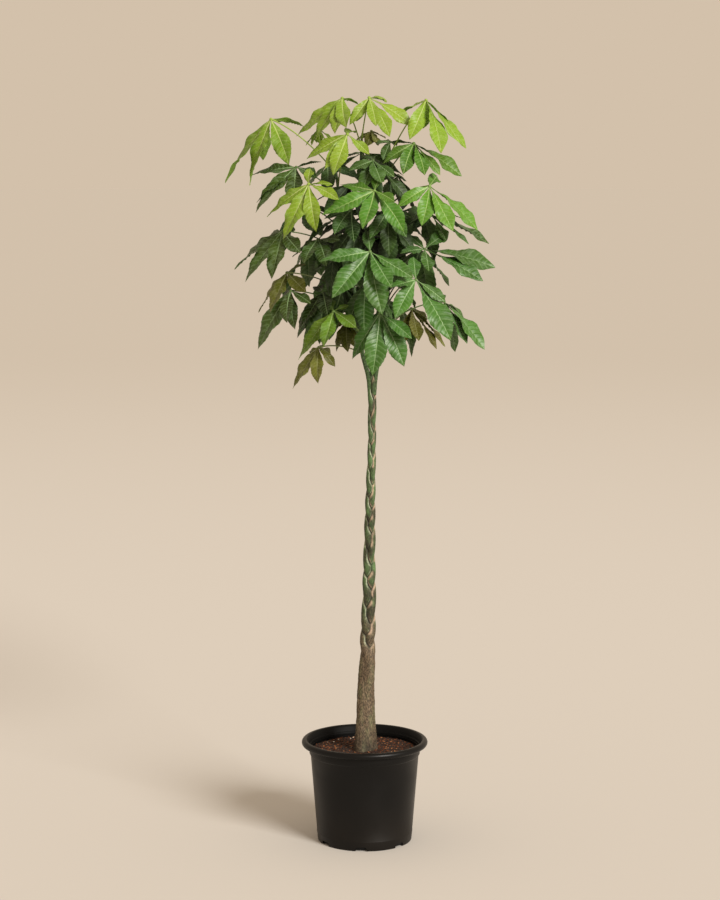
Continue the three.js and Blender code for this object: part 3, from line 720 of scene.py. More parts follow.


# The eighth colour of each skin is its painted sheen.
LEAF_SKINS = {
    Tint.YOUNG: LeafSkin(
        "young_leaf", "#487607", "#94bc36", "#9eb634", "#cfdc8c", "#7b9c38", "#8aa440", "#a0cc20",
        "#bcd48a", 0.32, 0.38,
    ),
    Tint.FRESH: LeafSkin(
        "fresh_leaf", "#224d08", "#5c9a2c", "#7a9428", "#acc87c", "#5f843a", "#74924a", "#88bc24",
        "#9cc088", 0.22, 0.38,
    ),
    Tint.DARK: LeafSkin(
        "dark_leaf", "#132b04", "#4f8230", "#525618", "#9cbc84", "#45622a", "#607a44", "#5a961c",
        "#94b08c", 0.14, 0.37,
    ),
    Tint.OLIVE: LeafSkin(
        "olive_leaf", "#444e12", "#8e9640", "#6e6822", "#b0b478", "#6c7440", "#74804a", "#a8b038",
        "#b4b486", 0.24, 0.4,
    ),
}


# ---- the pot and what fills it ----


@dataclass(frozen=True)
class PotSize:
    """The nursery pot: the plain model's sizes, with the finer lines of the moulding."""

    height: float = 220.0
    rim_radius: float = 135.0
    roll_radius: float = 7.0
    collar_radius: float = 118.5
    collar_bottom: float = 188.0
    body_top_radius: float = 116.0
    foot_radius: float = 101.0
    foot_round: float = 1.5
    wall: float = 2.6
    floor: float = 3.0
    ledge_height: float = 206.5
    ledge_width: float = 3.0
    bead_height: float = 200.6
    foot_line: float = 21.0
    line_depth: float = 0.5
    notches: int = 7
    first_notch: float = -94.6
    notch_width: float = 23.0
    notch_height: float = 9.0
    notch_corner: float = 3.5
    notch_depth: float = 14.0
    segments: int = 168
    roll_steps: int = 14
    sharp_degrees: float = 38.0
    foot_flat: float = 2.4
    wall_heights: tuple[float, ...] = (60.0, 110.0, 150.0)
    # Corners of the profile, each at an offset out and up from the edge that its row is named for.
    step_edge: tuple[Pair, ...] = ((-0.1, -1.6), (0.4, -0.7))
    collar_edge: tuple[Pair, ...] = ((-0.7, 0.7), (0.0, 1.7), (0.4, 8.0))
    neck_edge: tuple[Pair, ...] = ((1.0, -1.0), (2.2, 0.1))
    lip_edge: tuple[Pair, ...] = ((-3.4, -0.6), (-5.4, -2.4))
    slope_edge: tuple[Pair, ...] = ((2.0, -5.4), (1.2, -7.4), (0.4, -8.6))
    ledge_edge: tuple[Pair, ...] = ((0.0, 1.6), (-0.7, 0.4))
    ledge_foot: tuple[Pair, ...] = ((0.6, -0.1), (0.0, -1.0))
    bead_edge: tuple[Pair, ...] = ((0.0, 0.8), (-0.9, 0.3), (-0.9, -0.3), (0.0, -0.8))


class NurseryPot:
    """A black nursery pot with a rolled rim, a stepped collar and notches round its foot."""

    def __init__(self, size: PotSize, material: Material, inner: Material) -> None:
        """Keep the pot's sizes, and its finish outside and inside."""
        self.size = size
        self.material = material
        self.inner = inner

    def body_radius(self, height: float) -> float:
        """Return the tapered wall's outer radius at a height."""
        size = self.size
        widening = size.body_top_radius - size.foot_radius
        return size.foot_radius + widening * height / size.collar_bottom

    def outside(self) -> list[Pair]:
        """Return the profile from the axis below to the underside of the rolled rim."""
        size = self.size
        ring, step = size.foot_line, size.collar_bottom
        neck = size.height - 2 * size.roll_radius
        return [
            (0.0, 0.0),
            (size.foot_radius - size.foot_flat, 0.0),
            *arc((size.foot_radius - size.foot_round, size.foot_round), size.foot_round, -70, 0, 3),
            # The foot ring is a hair wider than the wall above it.
            (self.body_radius(ring - 1.2) + size.line_depth, ring - 1.2),
            (self.body_radius(ring) + size.line_depth * 0.7, ring - 0.3),
            (self.body_radius(ring), ring + 0.6),
            *((self.body_radius(height), height) for height in size.wall_heights),
            *edge_corners(size.body_top_radius, step, size.step_edge),
            *edge_corners(size.collar_radius, step, size.collar_edge),
            *edge_corners(size.collar_radius, neck, size.neck_edge),
        ]

    def inside(self) -> list[Pair]:
        """Return the profile from the inside of the rim down to the axis above the floor."""
        size = self.size
        collar = size.collar_radius - size.wall
        ledge = collar + size.ledge_width
        lip = size.rim_radius - size.roll_radius
        return [
            *edge_corners(lip, size.height, size.lip_edge),
            *edge_corners(ledge, size.height, size.slope_edge),
            *edge_corners(ledge, size.ledge_height, size.ledge_edge),
            *edge_corners(collar, size.ledge_height, size.ledge_foot),
            *edge_corners(collar, size.bead_height, size.bead_edge),
            (collar, size.collar_bottom + size.wall),
            (size.body_top_radius - size.wall, size.collar_bottom),
            (size.foot_radius - size.wall, size.floor),
            (0.0, size.floor),
        ]

    def notch_recipe(self) -> Recipe:
        """Return the tree that cuts a row of rounded notches round the foot."""
        sizes = ("Ring", "First", "Width", "Height", "Corner", "Depth")
        kinds = {"Material": "NodeSocketMaterial", "Count": "NodeSocketInt"}
        recipe = Recipe("foot_notches", kinds | dict.fromkeys(sizes, "NodeSocketFloat"))
        tree, given = recipe.tree, recipe.given
        tall = add(tree, MATH, TIMES, (given["Height"], 2.0))[0]
        sides = (given["Width"], tall)
        outline = add(tree, "GeometryNodeCurvePrimitiveQuadrilateral", None, sides)[0]
        rounding = {0: outline, "Count": 4, "Radius": given["Corner"]}
        rounded = add(tree, "GeometryNodeFilletCurve", {"mode": "POLY"}, rounding)[0]
        inward = add(tree, MATH, TIMES, (given["Depth"], -1.0))[0]
        ends = tuple(
            add(tree, "ShaderNodeCombineXYZ", None, {2: end})[0] for end in (inward, given["Depth"])
        )
        path = add(tree, "GeometryNodeCurvePrimitiveLine", None, ends)[0]
        body = {0: path, 1: rounded, "Fill Caps": True}
        block = add(tree, "GeometryNodeCurveToMesh", None, body)[0]
        # The block lies along Z until here. It is laid down to point along X, its width level.
        down = (math.pi / 2, 0.0, math.pi / 2)
        laid = add(tree, "GeometryNodeTransform", None, {0: block, "Rotation": down})[0]
        count = {"Vertices": given["Count"], "Radius": given["Ring"]}
        ring = add(tree, "GeometryNodeMeshCircle", None, count)[0]
        turn = add(tree, "ShaderNodeCombineXYZ", None, {2: given["First"]})[0]
        turned = add(tree, "GeometryNodeTransform", None, {0: ring, "Rotation": turn})[0]
        place = add(tree, "GeometryNodeInputPosition")[0]
        outward = {"axis": "X", "pivot_axis": "Z"}
        facing = add(tree, "FunctionNodeAlignRotationToVector", outward, {"Vector": place})[0]
        copies = {0: turned, "Instance": laid, "Rotation": facing}
        row = add(tree, "GeometryNodeInstanceOnPoints", None, copies)[0]
        blocks = add(tree, "GeometryNodeRealizeInstances", None, (row,))[0]
        less = {"operation": "DIFFERENCE", "solver": "EXACT"}
        cut = add(tree, "GeometryNodeMeshBoolean", less, (given["Geometry"], blocks))[0]
        recipe.close(cut)
        return recipe

    def build(self) -> None:
        """Build the pot and let it stand for the plain one."""
        size = self.size
        roll = (size.rim_radius - size.roll_radius, size.height - size.roll_radius)
        outside = self.outside() + arc(roll, size.roll_radius, -90, 90, size.roll_steps)
        points, faces = lathe(outside + self.inside(), size.segments)
        outer = (len(outside) - 1) * size.segments
        shape = Shape()
        inner = (np.arange(len(points)) >= outer).astype(float)
        shape.join(points, faces, values={"inside": inner})
        pot = new_object("nursery_pot", shape.mesh("nursery_pot"))
        lengths = {
            "Ring": size.foot_radius, "Width": size.notch_width, "Height": size.notch_height,
            "Corner": size.notch_corner, "Depth": size.notch_depth,
        }
        values = {name: value * MM for name, value in lengths.items()}
        values |= {"Material": self.material, "Count": size.notches}
        values["First"] = math.radians(size.first_notch)
        self.notch_recipe().run(pot, values)
        pot.data.materials.clear()
        for material in (self.material, self.inner):
            pot.data.materials.append(material)
        within = [item.value > 0.5 for item in pot.data.attributes["inside"].data]
        for face in pot.data.polygons:
            face.material_index = int(all(within[point] for point in face.vertices))
        pot.data.set_sharp_from_angle(angle=math.radians(size.sharp_degrees))
        place_piece(pot, "pot", "pot")


@dataclass(frozen=True)
class FillSize:
    """The fill: the plain model's mound, and the loose chips on it."""

    floor: float = 3.3
    foot_radius: float = 98.1
    top_radius: float = 113.1
    collar_radius: float = 115.6
    collar_bottom: float = 190.9
    edge_height: float = 195.0
    # How far the mound rises over its edge, and by what power of the radius it falls off.
    rise: float = 5.0
    rise_power: float = 1.4
    roughness: float = 1.3
    chip_gap: float = 5.2
    chip_small: Place = (2.6, 1.8, 0.9)
    chip_large: Place = (8.6, 5.0, 2.4)
    segments: int = 96
    rings: int = 30
    # The seeds of the chips' places, of their sizes and of their shades.
    seed: int = 5
    size_seed: int = 7
    shade_seed: int = 23
    # Chips lie where the bed's normal points up at least this much.
    level: float = 0.6
    # Crumbs of about this size, and the odd bend in a chip's faces.
    crumb: float = 9.0
    crumb_fractal: tuple[float, float, int] = (0.8, 2.2, 4)
    ragged: float = 4.0
    chips_per_m2: float = 90000.0
    bends_per_m: float = 420.0


class SoilFill:
    """Damp compost with a mulch of bark chips, filling the pot to just under its ledge."""

    def __init__(self, size: FillSize, bed: Material, chips: Material) -> None:
        """Keep the sizes and the two finishes."""
        self.size = size
        self.bed = bed
        self.chips = chips

    def mound_height(self, share: Vec) -> Vec:
        """Return the height of the bed at parts of its radius."""
        return self.size.edge_height + self.size.rise * (1 - share**self.size.rise_power)

    def bed_shape(self) -> Shape:
        """Return the compost, with a crumbled top."""
        size = self.size
        profile = [
            (0.0, size.floor),
            (size.foot_radius, size.floor),
            (size.top_radius, size.collar_bottom - 3),
            (size.collar_radius, size.collar_bottom),
        ]
        shares = np.linspace(1, 0, size.rings)
        profile += [(size.collar_radius * s, float(self.mound_height(s))) for s in shares]
        points, faces = lathe(profile, size.segments)
        top = points[:, 2] > size.collar_bottom + 1
        rough = size.crumb_fractal
        crumbs = [noise.fractal(Vector(point) / size.crumb, *rough) for point in points[top]]
        points[top, 2] += size.roughness * np.array(crumbs)
        shape = Shape()
        shape.join(points, faces)
        return shape

    def chip_recipe(self) -> Recipe:
        """Return the tree that strews chips over the top of a bed."""
        kinds = {"Material": "NodeSocketMaterial", "Seed": "NodeSocketInt"}
        kinds |= dict.fromkeys(("Smallest", "Largest"), "NodeSocketVector")
        kinds |= dict.fromkeys(("Gap", "Ragged"), "NodeSocketFloat")
        recipe = Recipe("strewn_chips", kinds)
        tree, given = recipe.tree, recipe.given
        facing = add(tree, "GeometryNodeInputNormal")[0]
        upward = add(tree, "ShaderNodeSeparateXYZ", None, (facing,))["Z"]
        is_top = add(tree, "FunctionNodeCompare", MORE, (upward, self.size.level))[0]
        strewn = {
            0: given["Geometry"], "Selection": is_top, "Distance Min": given["Gap"],
            "Density Max": self.size.chips_per_m2, "Seed": given["Seed"],
        }
        apart = {"distribute_method": "POISSON"}
        spots = add(tree, "GeometryNodeDistributePointsOnFaces", apart, strewn)[0]
        lump = add(tree, "GeometryNodeMeshIcoSphere", None, {"Radius": 0.5, "Subdivisions": 1})[0]
        tilts = {0: (-0.5, -0.5, 0.0), 1: (0.5, 0.5, FULL_TURN), "Seed": given["Seed"]}
        sides = {0: given["Smallest"], 1: given["Largest"], "Seed": self.size.size_seed}
        tip, size = (
            add(tree, "FunctionNodeRandomValue", {"data_type": "FLOAT_VECTOR"}, draw)[0]
            for draw in (tilts, sides)
        )
        copies = {0: spots, "Instance": lump, "Rotation": tip, "Scale": size}
        chips = add(tree, "GeometryNodeInstanceOnPoints", None, copies)[0]
        shade = add(tree, "FunctionNodeRandomValue", FLOATS, {"Seed": self.size.shade_seed})[1]
        on_chips = {"data_type": "FLOAT", "domain": "INSTANCE"}
        mark = {0: chips, "Name": "chip", "Value": shade}
        marked = add(tree, "GeometryNodeStoreNamedAttribute", on_chips, mark)[0]
        real = add(tree, "GeometryNodeRealizeInstances", None, (marked,))[0]
        place = add(tree, "GeometryNodeInputPosition")[0]
        bends = {"Vector": place, "Scale": self.size.bends_per_m, "Detail": 1.0}
        bent = add(tree, NOISE, None, bends)["Color"]
        centred = add(tree, VECTOR_MATH, {"operation": "SUBTRACT"}, (bent, (0.5, 0.5, 0.5)))[0]
        shift = add(tree, VECTOR_MATH, SCALE, {0: centred, "Scale": given["Ragged"]})[0]
        recipe.close(add(tree, "GeometryNodeSetPosition", None, {0: real, "Offset": shift})[0])
        return recipe

    def build(self) -> None:
        """Build the bed and its chips, which stand for the plain soil."""
        shape = self.bed_shape()
        bed = new_object("compost_bed", shape.mesh("compost_bed"))
        bed.data.materials.append(self.bed)
        place_piece(bed, "soil", "soil")
        chips = new_object("bark_chips", shape.mesh("bark_chips"))
        size = self.size
        values = {
            "Material": self.chips, "Seed": size.seed,
            "Gap": size.chip_gap * MM, "Ragged": size.ragged * MM,
            "Smallest": tuple(side * MM for side in size.chip_small),
            "Largest": tuple(side * MM for side in size.chip_large),
        }
        self.chip_recipe().run(chips, values)
        place_piece(chips, "soil", "soil")


# ---- the stems ----


@dataclass(frozen=True)
class TrunkSize:
    """The fused and braided stems, by the plain model's rule, with the finer relief of the bark."""

    # Height, place across, half width, depth-to-width ratio and depth.
    outline: tuple[tuple[float, float, float, float, float], ...] = (
        (110, 4, 26, 0.9, -14), (190, 4, 28.4, 0.9, -14), (212, 3.4, 25.6, 0.9, -12.5),
        (256, 2.9, 21.6, 0.9, -9), (317, 3.5, 19.1, 0.88, -5), (393, 5.8, 16.4, 0.85, -2),
        (439, 6.6, 16.8, 0.85, 0), (530, 9.5, 15.2, 0.85, 0), (612, 9.8, 13.4, 0.85, 0),
        (737, 12, 11.1, 0.85, 0), (865, 15.3, 8.8, 0.9, 0), (1004, 15.5, 9.6, 0.9, 0),
    )
    # Height and the count of strand crossings up to it.
    crossings: tuple[Pair, ...] = (
        (110, 0), (320, 0.3), (400, 1.1), (424, 2), (475, 4), (549, 6), (601, 8),
        (670, 10), (722, 12), (773, 14), (833, 16), (886, 18), (956, 20), (1004, 21.4),
    )
    strands: int = 3
    strand_share: float = 0.6
    core: float = 0.35
    row_gap: float = 2.2
    sides: int = 104
    dome: float = 12.0
    dome_least: float = 0.02
    # How deep and how wide the creases between strands are, where the half width is full_half.
    full_half: float = 16.0
    crease: float = 1.7
    crease_reach: float = 1.45
    crease_least: float = 0.35
    # How dark a crease is painted, as painted shade, with its front strand on either side. Then the
    # painted shadow beside it: how far it reaches, how strong it starts on either side, how much is
    # left at each step round, and the part of a turn that it spreads over.
    darkness: Pair = (1.0, 0.6)
    shadow_reach: float = 2.6
    shadows: Pair = (0.97, 0.45)
    shadow_left: float = 0.86
    shadow_part: int = 6
    # The lips on either side of a crease, a painted highlight and a pink callus that is partly
    # painted
    # light: how far off they lie, and how wide they are.
    ridge: Pair = (1.8, 1.2)
    scar: Pair = (2.4, 2.0)
    lip_line: Pair = (395.0, 430.0)
    # Low down the strands have fused: height, and how softly they blend there, in millimetres.
    fusing: tuple[Pair, ...] = (
        (110, 0.9), (208, 1.1), (240, 4.5), (385, 5.0), (425, 0.25), (1004, 0.25),
    )
    filling: float = 0.8
    parting: float = 2.6
    # The bark's relief below and above, and the heights between which it changes.
    relief: Pair = (1.3, 0.35)
    relief_line: Pair = (330.0, 480.0)
    # The size of the bark's grain each way.
    grain: Place = (7.0, 7.0, 22.0)
    grain_fractal: tuple[float, float, int] = (0.7, 2.1, 5)
    # The steps along and round a shoot, and how it ends.
    shoot_steps: int = 90
    shoot_sides: int = 14
    shoot_end: Place = (0.9, 0.7, 0.4)
    # The old leaf scars: how many a shoot has, how far they lie off those of the next shoot, how
    # much they swell, and the part of a wave that they are cut off at.
    scars: int = 15
    scar_shift: float = 0.3
    scar_swell: Pair = (0.5, 0.55)


@dataclass(frozen=True)
class ShootLine:
    """A bare shoot: the places along its middle, and its radius at the foot and at the top."""

    line: tuple[Place, ...]
    radii: Pair


SHOOTS = {
    Shoot.LEFT: ShootLine(
        (
            (11.5, 0, 962), (7.5, -2, 1000), (-5, -6, 1050), (-14, -14, 1110),
            (-24, -24, 1200), (-38, -28, 1290), (-52, -22, 1370), (-62, -12, 1445),
        ),
        (5.2, 2.8),
    ),
    Shoot.RIGHT: ShootLine(
        (
            (19, -1, 962), (22.5, -2, 1000), (31, -4, 1050), (42, -10, 1110), (50, -20, 1200),
            (55, -24, 1290), (54, -16, 1370), (48, -6, 1440), (44, 0, 1482),
        ),
        (5.2, 2.6),
    ),
    Shoot.BACK: ShootLine(
        (
            (15, 3, 962), (15, 7, 1000), (14, 17, 1050), (10, 32, 1110), (4, 50, 1200),
            (-2, 60, 1290), (-6, 56, 1370), (-8, 40, 1440), (-6, 22, 1508),
        ),
        (5.2, 2.6),
    ),
}
# Stalks leave a shoot at least this far below its top.
SHOOT_END = 6.0


def shoot_point(shoot: Shoot, height: float) -> Vec:
    """Return the point of a shoot's middle line at a height, or just under its top."""
    line = np.array(SHOOTS[shoot].line, dtype=float)
    level = min(height, line[-1, 2] - SHOOT_END)
    across, depth = (np.interp(level, line[:, 2], line[:, axis]) for axis in (0, 1))
    return np.array([across, depth, level])


def limb_recipe() -> Recipe:
    """Return the tree that gives a body to the loose paths in a mesh.

    Points with the attribute "limb" above a half are on paths, and "girth" is the radius in metres
    there. The rest of the mesh passes through as it is.
    """
    recipe = Recipe("limbs", {"Material": "NodeSocketMaterial", "Sides": "NodeSocketInt"})
    tree, given = recipe.tree, recipe.given
    limb, girth = (
        add(tree, "GeometryNodeInputNamedAttribute", FLOATS, {"Name": name})[0]
        for name in ("limb", "girth")
    )
    is_path = add(tree, "FunctionNodeCompare", MORE, (limb, 0.5))[0]
    chosen = {0: given["Geometry"], "Selection": is_path}
    parts = add(tree, "GeometryNodeSeparateGeometry", {"domain": "POINT"}, chosen)
    paths = add(tree, "GeometryNodeMeshToCurve", None, (parts[0],))[0]
    sized = add(tree, "GeometryNodeSetCurveRadius", None, {0: paths, "Radius": girth})[0]
    even = {"Resolution": given["Sides"], 4: 1.0}
    ring = add(tree, "GeometryNodeCurvePrimitiveCircle", None, even)[0]
    scale = add(tree, "GeometryNodeInputRadius")[0]
    body = {0: sized, 1: ring, "Scale": scale, "Fill Caps": True}
    skin = add(tree, "GeometryNodeCurveToMesh", None, body)[0]
    soft = add(tree, "GeometryNodeSetShadeSmooth", None, (skin,))[0]
    recipe.close(add(tree, "GeometryNodeJoinGeometry", None, ([parts[1], soft],))[0])
    return recipe


def path_edges(count: int) -> list[tuple[int, int]]:
    """Return the edges that string points together in their order."""
    return [(place, place + 1) for place in range(count - 1)]


class BraidedTrunk:
    """Three stems, fused at the foot and braided above, with the bare shoots that they end in."""

    def __init__(self, size: TrunkSize, limbs: Recipe, material: Material) -> None:
        """Keep the sizes, the tree that bodies the shoots, and the bark."""
        self.size = size
        self.limbs = limbs
        self.material = material

    def outline_at(self, heights: Vec, *columns: int) -> list[Vec]:
        """Return columns of the outline's table at heights, one height a row."""
        rows = np.array(self.size.outline)
        return [np.interp(heights, rows[:, 0], rows[:, column])[:, None] for column in columns]

    def reach(self, heights: Vec, turns: Vec) -> tuple[Vec, Vec, Vec, Vec]:
        """Find how far the stems reach from their middle line.

        Args:
            heights: The heights, one a row.
            turns: The bearings round the middle, one a column.

        Returns:
            The outermost reach, how far the next strand's reach falls short of it, whether the
            outermost strand is the one that lies in front there, and whether the one in front lies
            clockwise of where the two meet, seen from above.
        """
        size = self.size
        half, flat = self.outline_at(heights, 2, 3)
        phase = np.interp(heights, *np.array(size.crossings).T)[:, None] * math.pi / 3
        radius = half * size.strand_share
        hits = [np.broadcast_to(half * size.core, (len(heights), len(turns)))]
        outs, asides = ([np.zeros((len(heights), len(turns)))] for _ in range(2))
        for strand in range(size.strands):
            turn = phase + FULL_TURN * strand / size.strands
            across = (half - radius) * np.sin(turn)
            # Seen from the front, the strand on top always parts from the middle as it rises.
            depth = (radius - half * flat) * np.sin(2 * turn)
            forward = across * np.cos(turns) + depth * np.sin(turns)
            aside = across * np.sin(turns) - depth * np.cos(turns)
            inside = np.clip(radius**2 - aside**2, 0, None)
            hits.append(np.where(inside > 0, forward + np.sqrt(inside), 0))
            outs.append(forward)
            asides.append(aside)
        order = np.argsort(np.stack(hits), axis=0)
        ranked, out, beside = (
            np.take_along_axis(np.stack(values), order, axis=0) for values in (hits, outs, asides)
        )
        in_front = out[-1] > out[-2]
        return ranked[-1], ranked[-1] - ranked[-2], in_front, (beside[-1] > beside[-2]) == in_front

    def bark_relief(self, points: Vec) -> Vec:
        """Return how far the bark stands out at each point: ridges low down, faint grain above."""
        low, high = self.size.relief
        worn = smooth_step(points[:, 2], *self.size.relief_line)
        depth = low + (high - low) * worn
        places, rough = (points / self.size.grain).tolist(), self.size.grain_fractal
        return depth * np.array([noise.fractal(Vector(place), *rough) for place in places])

    def ring_points(self, heights: Vec, body: Vec) -> Vec:
        """Return the points at a reach from the middle line, ring by ring."""
        turns = FULL_TURN * np.arange(self.size.sides) / self.size.sides
        across, depth = self.outline_at(heights, 1, 4)
        level = np.repeat(heights[:, None], self.size.sides, axis=1)
        points = [across + body * np.cos(turns), depth + body * np.sin(turns), level]
        return np.stack(points, axis=2).reshape(-1, 3)

    def stems(self, shape: Shape) -> None:
        """Add the braid's skin."""
        size = self.size
        low, high = size.outline[0][0], size.outline[-1][0]
        rows = round((high - low) / size.row_gap)
        heights = np.linspace(low, high, rows + 1)
        turns = FULL_TURN * np.arange(size.sides) / size.sides
        reach, gap, in_front, clockwise = self.reach(heights, turns)
        # Where the strands have fused, their creases are filled and hardly show.
        soft = np.interp(heights, *np.array(size.fusing).T)[:, None]
        parted = np.clip(1 - soft / size.parting, 0, 1)
        # Creases and lips narrow as the stems do.
        scale = self.outline_at(heights, 2)[0] / size.full_half
        crease = parted * np.exp(-((gap / (size.crease_reach * scale)) ** 2))
        filled = reach + soft * np.log1p(np.exp(-gap / soft)) * size.filling
        # The top closes in a dome among the feet of the shoots.
        left = np.clip((high - heights) / size.dome, 0.0, 1.0)[:, None]
        closing = np.sqrt(np.clip(1 - (1 - left) ** 2, size.dome_least, 1))
        relief = self.bark_relief(self.ring_points(heights, filled)).reshape(reach.shape)
        least = size.crease_least
        depth = size.crease * (least + (1 - least) * reach / reach.max())
        points = self.ring_points(heights, (filled - depth * crease + relief) * closing)
        rows_of_ends = self.ring_points(heights[[0, -1]], np.zeros((2, size.sides)))
        points = np.vstack([points, rows_of_ends[[0, -1]]])
        # Painted shade: a crease is painted dark, and a painted shadow spreads from it round the
        # strand behind. Both are stronger where the strand in front lies clockwise.
        shadow = parted * np.exp(-((gap / (size.shadow_reach * scale)) ** 2)) * ~in_front
        dark = crease * np.where(clockwise, *size.darkness)
        for side, start, way in zip((clockwise, ~clockwise), size.shadows, (1, -1)):
            cast = start * shadow * side
            for _ in range(size.sides // size.shadow_part):
                cast = np.maximum(cast, size.shadow_left * np.roll(cast, way, axis=1))
            dark = np.maximum(dark, cast)
        # The lips beside a crease: a painted highlight where the strand in front lies clockwise,
        # and pink callus on the other crossings, the bark's own colour kept to the lit side, so
        # partly painted light.
        lips_shown = parted * in_front * smooth_step(heights, *size.lip_line)[:, None]
        ridge, scar = (
            lips_shown * side * np.exp(-(((gap / scale - place) / reach_of) ** 2))
            for side, (place, reach_of) in ((clockwise, size.ridge), (~clockwise, size.scar))
        )
        marks = {"seam": dark, "ridge": ridge, "scar": scar}
        values = {name: np.append(mark.ravel(), [0, 0]) for name, mark in marks.items()}
        shape.join(points, tube_faces(rows + 1, size.sides), values=values)

    def shoots(self, shape: Shape) -> None:
        """Add the bare shoots' paths, with a swelling where each old leaf fell."""
        size = self.size
        for place, shoot in enumerate(SHOOTS.values()):
            path = smooth_path(shoot.line, size.shoot_steps)
            share = np.linspace(0, 1, len(path))
            start, end = shoot.radii
            ringed = np.cos(FULL_TURN * (size.scars * share + size.scar_shift * place))
            swelling, cut = size.scar_swell
            scars = swelling * np.clip(ringed, cut, 1) - swelling * cut
            girth = start + (end - start) * share + scars
            girth[-3:] *= size.shoot_end
            shape.join(path, edges=path_edges(len(path)), values={"limb": 1.0, "girth": girth * MM})

    def build(self) -> None:
        """Build the stems and let them stand for the plain trunk."""
        shape = Shape()
        self.stems(shape)
        self.shoots(shape)
        trunk = new_object("braided_trunk", shape.mesh("braided_trunk"))
        self.limbs.run(trunk, {"Material": self.material, "Sides": self.size.shoot_sides})
        place_piece(trunk, "bark", "trunk")


# ---- the leaves ----


@dataclass(frozen=True)
class SeenLeaf:
    """A leaf that shows from the front, with its places as a viewer at a distance sees them.

    A place is across, height and depth, where across and height are those of the pot's middle
    plane. A tip's depth is counted from its hub. The root is the height at which the stalk leaves
    its shoot.
    """

    name: str
    tint: Tint
    shoot: Shoot
    root: float
    hub: Place
    tone: float
    warmth: float
    tips: tuple[Place, ...]


